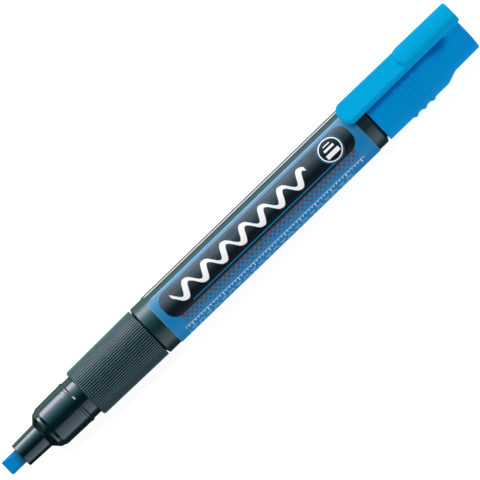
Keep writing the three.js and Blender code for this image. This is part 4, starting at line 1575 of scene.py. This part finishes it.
# %% The web and the bump
WEB_LENGTH = 5.2
WEB_SETBACK = 0.35
WEB_HALF_WIDTH = 2.9
WEB_SQUARENESS = 5.0
WEB_FOOT_FILLET = 2.0
WEB_HEAD_FILLET = 1.4
WEB_HEAD_SIDE = 0.1
WEB_FOOT_RADIUS = 5.45
WEB_OVERLAP = 0.3
WEB_POINTS = 96
WEB_ROWS = 26
WEB_ROUNDS = 4
BUMP_SETBACK = 1.4
BUMP_LENGTH = 2.4
BUMP_HALF_WIDTH = 1.5
BUMP_GAP = 0.35
BUMP_OVERLAP = 0.4
BUMP_RIM = 0.05
BUMP_ROWS = 24
BUMP_COLUMNS = 12


def fillet(height, size):
    """How far a quarter round has flared at a height above the face that it meets."""
    return edge_drop(height, size) if height < size else 0.0


def web_row(share):
    """One level of the web, from its foot in the cap at 0 to its head in the blade at 1.

    How wide it is depends on its height and its height on how wide it is, so both are found in rounds.
    """
    rear = cap_end - WEB_SETBACK
    front = cap_end - WEB_LENGTH
    head = clip_inner + WEB_OVERLAP
    row = []
    for step in range(WEB_POINTS):
        angle = step / WEB_POINTS * 2 * math.pi
        ahead = math.copysign(abs(math.cos(angle)) ** (2 / WEB_SQUARENESS), math.cos(angle))
        aside = math.copysign(abs(math.sin(angle)) ** (2 / WEB_SQUARENESS), math.sin(angle))
        y = WEB_HALF_WIDTH * aside
        for _ in range(WEB_ROUNDS):
            foot = math.sqrt(WEB_FOOT_RADIUS ** 2 - y * y)
            z = foot + (head - foot) * share
            above = max(math.hypot(y, z) - NARROW_FRONT_RADIUS, 0.0)
            below = max(clip_inner - z, 0.0)
            flare = fillet(above, WEB_FOOT_FILLET)
            y = (WEB_HALF_WIDTH + flare + fillet(below, WEB_HEAD_SIDE)) * aside
        reach = (rear - front) / 2
        x = (front + rear) / 2 + reach * ahead
        if ahead < 0:
            x += ahead * (flare + fillet(below, WEB_HEAD_FILLET))
        row.append((x, y, z))
    return row


def bump_shape():
    """A low pillow under the free tip."""
    low = clip_inner - label_outer - BUMP_GAP
    front = clip_front + BUMP_SETBACK
    upper, under = [], []
    for step in range(BUMP_ROWS + 1):
        share = step / BUMP_ROWS
        bow = 1 - (2 * share - 1) ** 2
        upper.append([])
        under.append([])
        for side in range(-BUMP_COLUMNS, BUMP_COLUMNS + 1):
            width = math.sin(side / BUMP_COLUMNS * math.pi / 2)
            edge = math.sqrt(max(1 - abs(width) ** 5, 0.0))
            place = (front + share * BUMP_LENGTH, BUMP_HALF_WIDTH * width)
            upper[-1].append((*place, clip_inner + BUMP_OVERLAP))
            under[-1].append((*place, clip_inner + BUMP_RIM - (low + BUMP_RIM) * bow * edge))
    return sheet(upper, under)


web = lofted([web_row(row / (WEB_ROWS - 1)) for row in range(WEB_ROWS)])
bump = bump_shape()
print(f"The web stands {clip_inner - NARROW_FRONT_RADIUS:.2f} mm high")

# %% [markdown]
# ## One moulding
# Three closed shapes that cross each other can pass for one, but a Boolean union makes them truly one
# skin with no faces hidden inside. A union can drop a part without a word when a shape crosses itself,
# so it is told to allow for that, and the height of the joined skin is printed as proof.

# %% Join the clip


def combined(whole, others, operation, self_crossing=False):
    """The mesh that a Boolean makes of a piece and others, all of which are then removed."""
    for other in others:
        boolean = whole.modifiers.new("boolean", "BOOLEAN")
        boolean.operation = operation
        boolean.solver = "EXACT"
        boolean.object = other
        boolean.use_self = self_crossing
    bpy.context.view_layer.update()
    mesh = bpy.data.meshes.new_from_object(whole.evaluated_get(bpy.context.evaluated_depsgraph_get()))
    for piece in (whole, *others):
        bpy.data.objects.remove(piece)
    return smoothed(mesh)


def joined(name, parts, finish):
    """One object from several closed shapes that cross each other."""
    whole, *others = [make_piece(f"{name}_{index}", part, finish) for index, part in enumerate(parts)]
    mesh = combined(whole, others, "UNION", self_crossing=True)
    mesh.name = name
    piece = add_to_scene(name, mesh)
    low, high = (pick(point.co.z for point in mesh.vertices) / MM for pick in (min, max))
    print(f"{name}: {len(mesh.polygons)} faces in one skin, from {low:.2f} to {high:.2f} mm high")
    return piece


CLIP_SIDES = paint(0, 161, 228)
# The clip's top is a darker copy of its colour: painted shade under the strong light from above.
CLIP_TOP_PAINTED_SHADE = paint(3, 154, 205)
clip_blue = moulded_plastic(
    "satin_cyan_clip", CLIP_SIDES, top=CLIP_TOP_PAINTED_SHADE, foot=(CAP_COLOUR, clip_inner), **CAP_MOULD
)
clip_piece = joined("clip_moulding", [blade, web, bump], clip_blue)
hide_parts("cap_clip")
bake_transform(clip_piece)

# %% [markdown]
# ## What the pen holds inside
# Five small parts make the valve that lets ink down when the nib is pressed, a ball stirs the ink and
# a soft cup in the cap seals the nib. They are hidden while the pen is whole, but a pen that comes apart
# on the bench needs them, so they are turned from the same kind of outlines with the same care.

# %% Finishes for the inner parts
acetal = moulded_plastic(
    "natural_acetal", paint(232, 231, 224), roughness=0.4, gloss=0.4, grain=(0.4, 0.002), cloud=0.02
)
milky = moulded_plastic(
    "milky_polyethylene", paint(222, 230, 232), roughness=0.5, gloss=0.4, grain=(0.4, 0.003), cloud=0.03
)
rubber = moulded_plastic(
    "black_rubber", paint(28, 28, 29), roughness=0.85, gloss=0.3, grain=(0.12, 0.006)
)


def steel_finish(name, roughness, drawn):
    """Bright steel, with fine lines along the wire or a trace of polishing."""
    material, shader = new_finish(name)
    tree = material.node_tree
    lines = noise(tree, 0.05, drawn, detail=2.0)
    tarnish = noise(tree, 1.5, detail=2.0)
    feed(shader.inputs["Base Color"], mixed(tarnish, paint(206, 208, 210), paint(186, 188, 192)))
    feed(shader.inputs["Roughness"], lines * 0.1 + roughness)
    shader.inputs["Metallic"].default_value = 1.0
    relief(shader, lines * 0.001)
    return material


print("Inner finishes: acetal, polyethylene, rubber and steel")

# %% The seal cup
SEAL_BORE = 3.45
SEAL_BODY = 4.6
SEAL_FLANGE = 1.2
SEAL_END = 1.0
SEAL_SIDES = 128

seal_front = front_of("inner_cap")
seal_rear = rear_of("inner_cap")
seal_corners = [
    (seal_front, CAP_BORE - FIT, 0.15),
    (seal_front + SEAL_FLANGE, CAP_BORE - FIT, 0.15),
    (seal_front + SEAL_FLANGE, SEAL_BODY, 0.2),
    (seal_rear, SEAL_BODY, 0.3),
    (seal_rear, 0),
    (seal_rear - SEAL_END, 0),
    (seal_rear - SEAL_END, SEAL_BORE, 0.4),
    (seal_front, SEAL_BORE, 0.3),
]
turned_piece("seal_cup", seal_corners, milky, ("cap", "inner_cap", "seal_plastic"), SEAL_SIDES)

# %% The valve
CASE_RADIUS = 4.2
CASE_FRONT_BORE = 3.0
CASE_REAR_BORE = 3.2
RETAINER_BORE = 3.5
SEAT_HOLE = 1.7
SEAT_WALL = 1.5
ROD_RADIUS = 1.2
ROD_FLANGE_RADIUS = 2.4
ROD_HEAD_RADIUS = 2.5
ROD_TAIL_RADIUS = 0.9
INNER_SIDES = 96

case_front = front_of("valve_case")
case_rear = rear_of("valve_case")
seat_rear = front_of("valve_packing") - GAP
spring_rear = front_of("valve_retainer") - GAP
case_corners = [
    (case_front, CASE_RADIUS, 0.2),
    (case_rear, CASE_RADIUS, 0.2),
    (case_rear, RETAINER_BORE, 0.08),
    (spring_rear, RETAINER_BORE),
    (spring_rear, CASE_REAR_BORE),
    (seat_rear, CASE_REAR_BORE),
    (seat_rear, SEAT_HOLE, 0.08),
    (seat_rear - SEAT_WALL, SEAT_HOLE, 0.08),
    (seat_rear - SEAT_WALL, CASE_FRONT_BORE),
    (case_front, CASE_FRONT_BORE, 0.15),
]
turned_piece("valve_sleeve", case_corners, acetal, ("pen_body", "valve_case", "valve_plastic"), INNER_SIDES)

packing_front = front_of("valve_packing")
packing_rear = rear_of("valve_packing")
packing_corners = [
    (packing_front, CASE_REAR_BORE - FIT, 0.2),
    (packing_rear, CASE_REAR_BORE - FIT, 0.2),
    (packing_rear, SEAT_HOLE + GAP, 0.2),
    (packing_front, SEAT_HOLE + GAP, 0.2),
]
packing_place = ("pen_body", "valve_packing", "packing_rubber")
turned_piece("valve_washer", packing_corners, rubber, packing_place, INNER_SIDES)

# %% The valve's rod
ROD_FLANGE = 1.2
ROD_HEAD = 1.5

rod_front = front_of("valve_rod")
head_front = packing_rear + GAP
rod_corners = [
    (rod_front, 0),
    (rod_front, ROD_FLANGE_RADIUS, 0.15),
    (rod_front + ROD_FLANGE, ROD_FLANGE_RADIUS, 0.15),
    (rod_front + ROD_FLANGE, ROD_RADIUS, 0.1),
    (head_front, ROD_RADIUS, 0.1),
    (head_front, ROD_HEAD_RADIUS, 0.1),
    (head_front + ROD_HEAD, ROD_HEAD_RADIUS, 0.3),
    (head_front + ROD_HEAD, ROD_TAIL_RADIUS, 0.1),
    (rear_of("valve_rod"), ROD_TAIL_RADIUS, 0.25),
    (rear_of("valve_rod"), 0),
]
turned_piece("valve_stem", rod_corners, acetal, ("writing_tip", "valve_rod", "valve_plastic"), INNER_SIDES)

# %% The retainer with its ports
PORT_COUNT = 4
PORT_RADIUS = 0.5
PORT_SIDES = 32
PORT_TURN_DEG = 45
PIN_REACH = 1
RETAINER_HOLE = 1.05


def bored_disc(front, rear, outer, hole, port_radius):
    """A disc with a middle hole and a ring of ports, cut by a Boolean difference."""
    outline = rounded([(front, outer, 0.1), (rear, outer, 0.1), (rear, hole, 0.08), (front, hole, 0.08)])
    disc = make_piece("retainer_disc", turned(outline, INNER_SIDES), acetal)
    circle = (outer + hole) / 2
    turns = [side / PORT_SIDES * 2 * math.pi for side in range(PORT_SIDES)]
    pins = []
    for port in range(PORT_COUNT):
        _, y, z = round_pen(0, circle, 360 * port / PORT_COUNT + PORT_TURN_DEG)
        rim = [(y + port_radius * math.cos(turn), z + port_radius * math.sin(turn)) for turn in turns]
        rings = [[(station, *point) for point in rim] for station in (front - PIN_REACH, rear + PIN_REACH)]
        pins.append(make_piece(f"port_pin_{port}", lofted(rings), acetal))
    return combined(disc, pins, "DIFFERENCE")


retainer_mesh = bored_disc(
    front_of("valve_retainer"),
    rear_of("valve_retainer"),
    RETAINER_BORE - GAP,
    RETAINER_HOLE,
    PORT_RADIUS,
)
retainer_piece = add_to_scene("valve_lid", retainer_mesh)
settle(retainer_piece, "pen_body", "valve_retainer", "valve_plastic")
print("The retainer has", PORT_COUNT, "ports")

# %% The spring and the ball
SPRING_LENGTH = 6.6
SPRING_TURNS = 6
SPRING_WIRE = 0.2
SPRING_RADIUS = 1.7
WIRE_SIDES = 12
STEPS_PER_TURN = 40
BALL_SIDES = 96
BALL_ROWS = 48

spring_front = spring_rear - SPRING_LENGTH
spring_pitch = (SPRING_LENGTH - 2 * SPRING_WIRE) / SPRING_TURNS


def wire_ring(turn):
    """A ring of points round the wire, so many turns along the spring."""
    angle = turn * 2 * math.pi
    outward = Vector((0, math.cos(angle), math.sin(angle)))
    direction = Vector((spring_pitch / (2 * math.pi * SPRING_RADIUS), -math.sin(angle), math.cos(angle)))
    sideways = direction.normalized().cross(outward)
    centre = outward * SPRING_RADIUS
    centre.x = spring_front + SPRING_WIRE + spring_pitch * turn
    ring = []
    for side in range(WIRE_SIDES):
        round_wire = side / WIRE_SIDES * 2 * math.pi
        away = outward * math.cos(round_wire) + sideways * math.sin(round_wire)
        ring.append(tuple(centre + away * SPRING_WIRE))
    return ring


spring_rings = [wire_ring(step / STEPS_PER_TURN) for step in range(SPRING_TURNS * STEPS_PER_TURN + 1)]
spring_piece = make_piece("valve_coil", lofted(spring_rings), steel_finish("drawn_wire", 0.2, (8, 1, 1)))
settle(spring_piece, "pen_body", "valve_spring", "spring_steel")
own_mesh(spring_piece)

ball_low, ball_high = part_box("mixing_ball")
ball_middle = (ball_low + ball_high) / 2
ball_radius = (ball_high.x - ball_low.x) / 2 / MM
ball_arc = [step / BALL_ROWS * math.pi for step in range(BALL_ROWS + 1)]
ball_outline = [(-ball_radius * math.cos(a), max(ball_radius * math.sin(a), 0.0)) for a in ball_arc]
ball_points, ball_faces = turned(ball_outline, BALL_SIDES)
ball_down = (ball_middle.z - AXIS_HEIGHT) / MM
ball_points = [(x + ball_middle.x / MM, y, z + ball_down) for x, y, z in ball_points]
ball_finish = steel_finish("polished_steel", 0.08, (1, 1, 1))
ball_piece = make_piece("stirring_ball", (ball_points, ball_faces), ball_finish)
settle(ball_piece, "stirrer", "mixing_ball", "ball_steel")

# %% [markdown]
# ## Stand it on the floor
# The floor is laid at the lowest point of the finished pen, and the size of the dressed pen is printed.

# %% Sizes, and the last line
low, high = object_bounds()
floor.location.z = low.z
print("Visual box:", [round(v / MM, 3) for v in (*low, *high)])
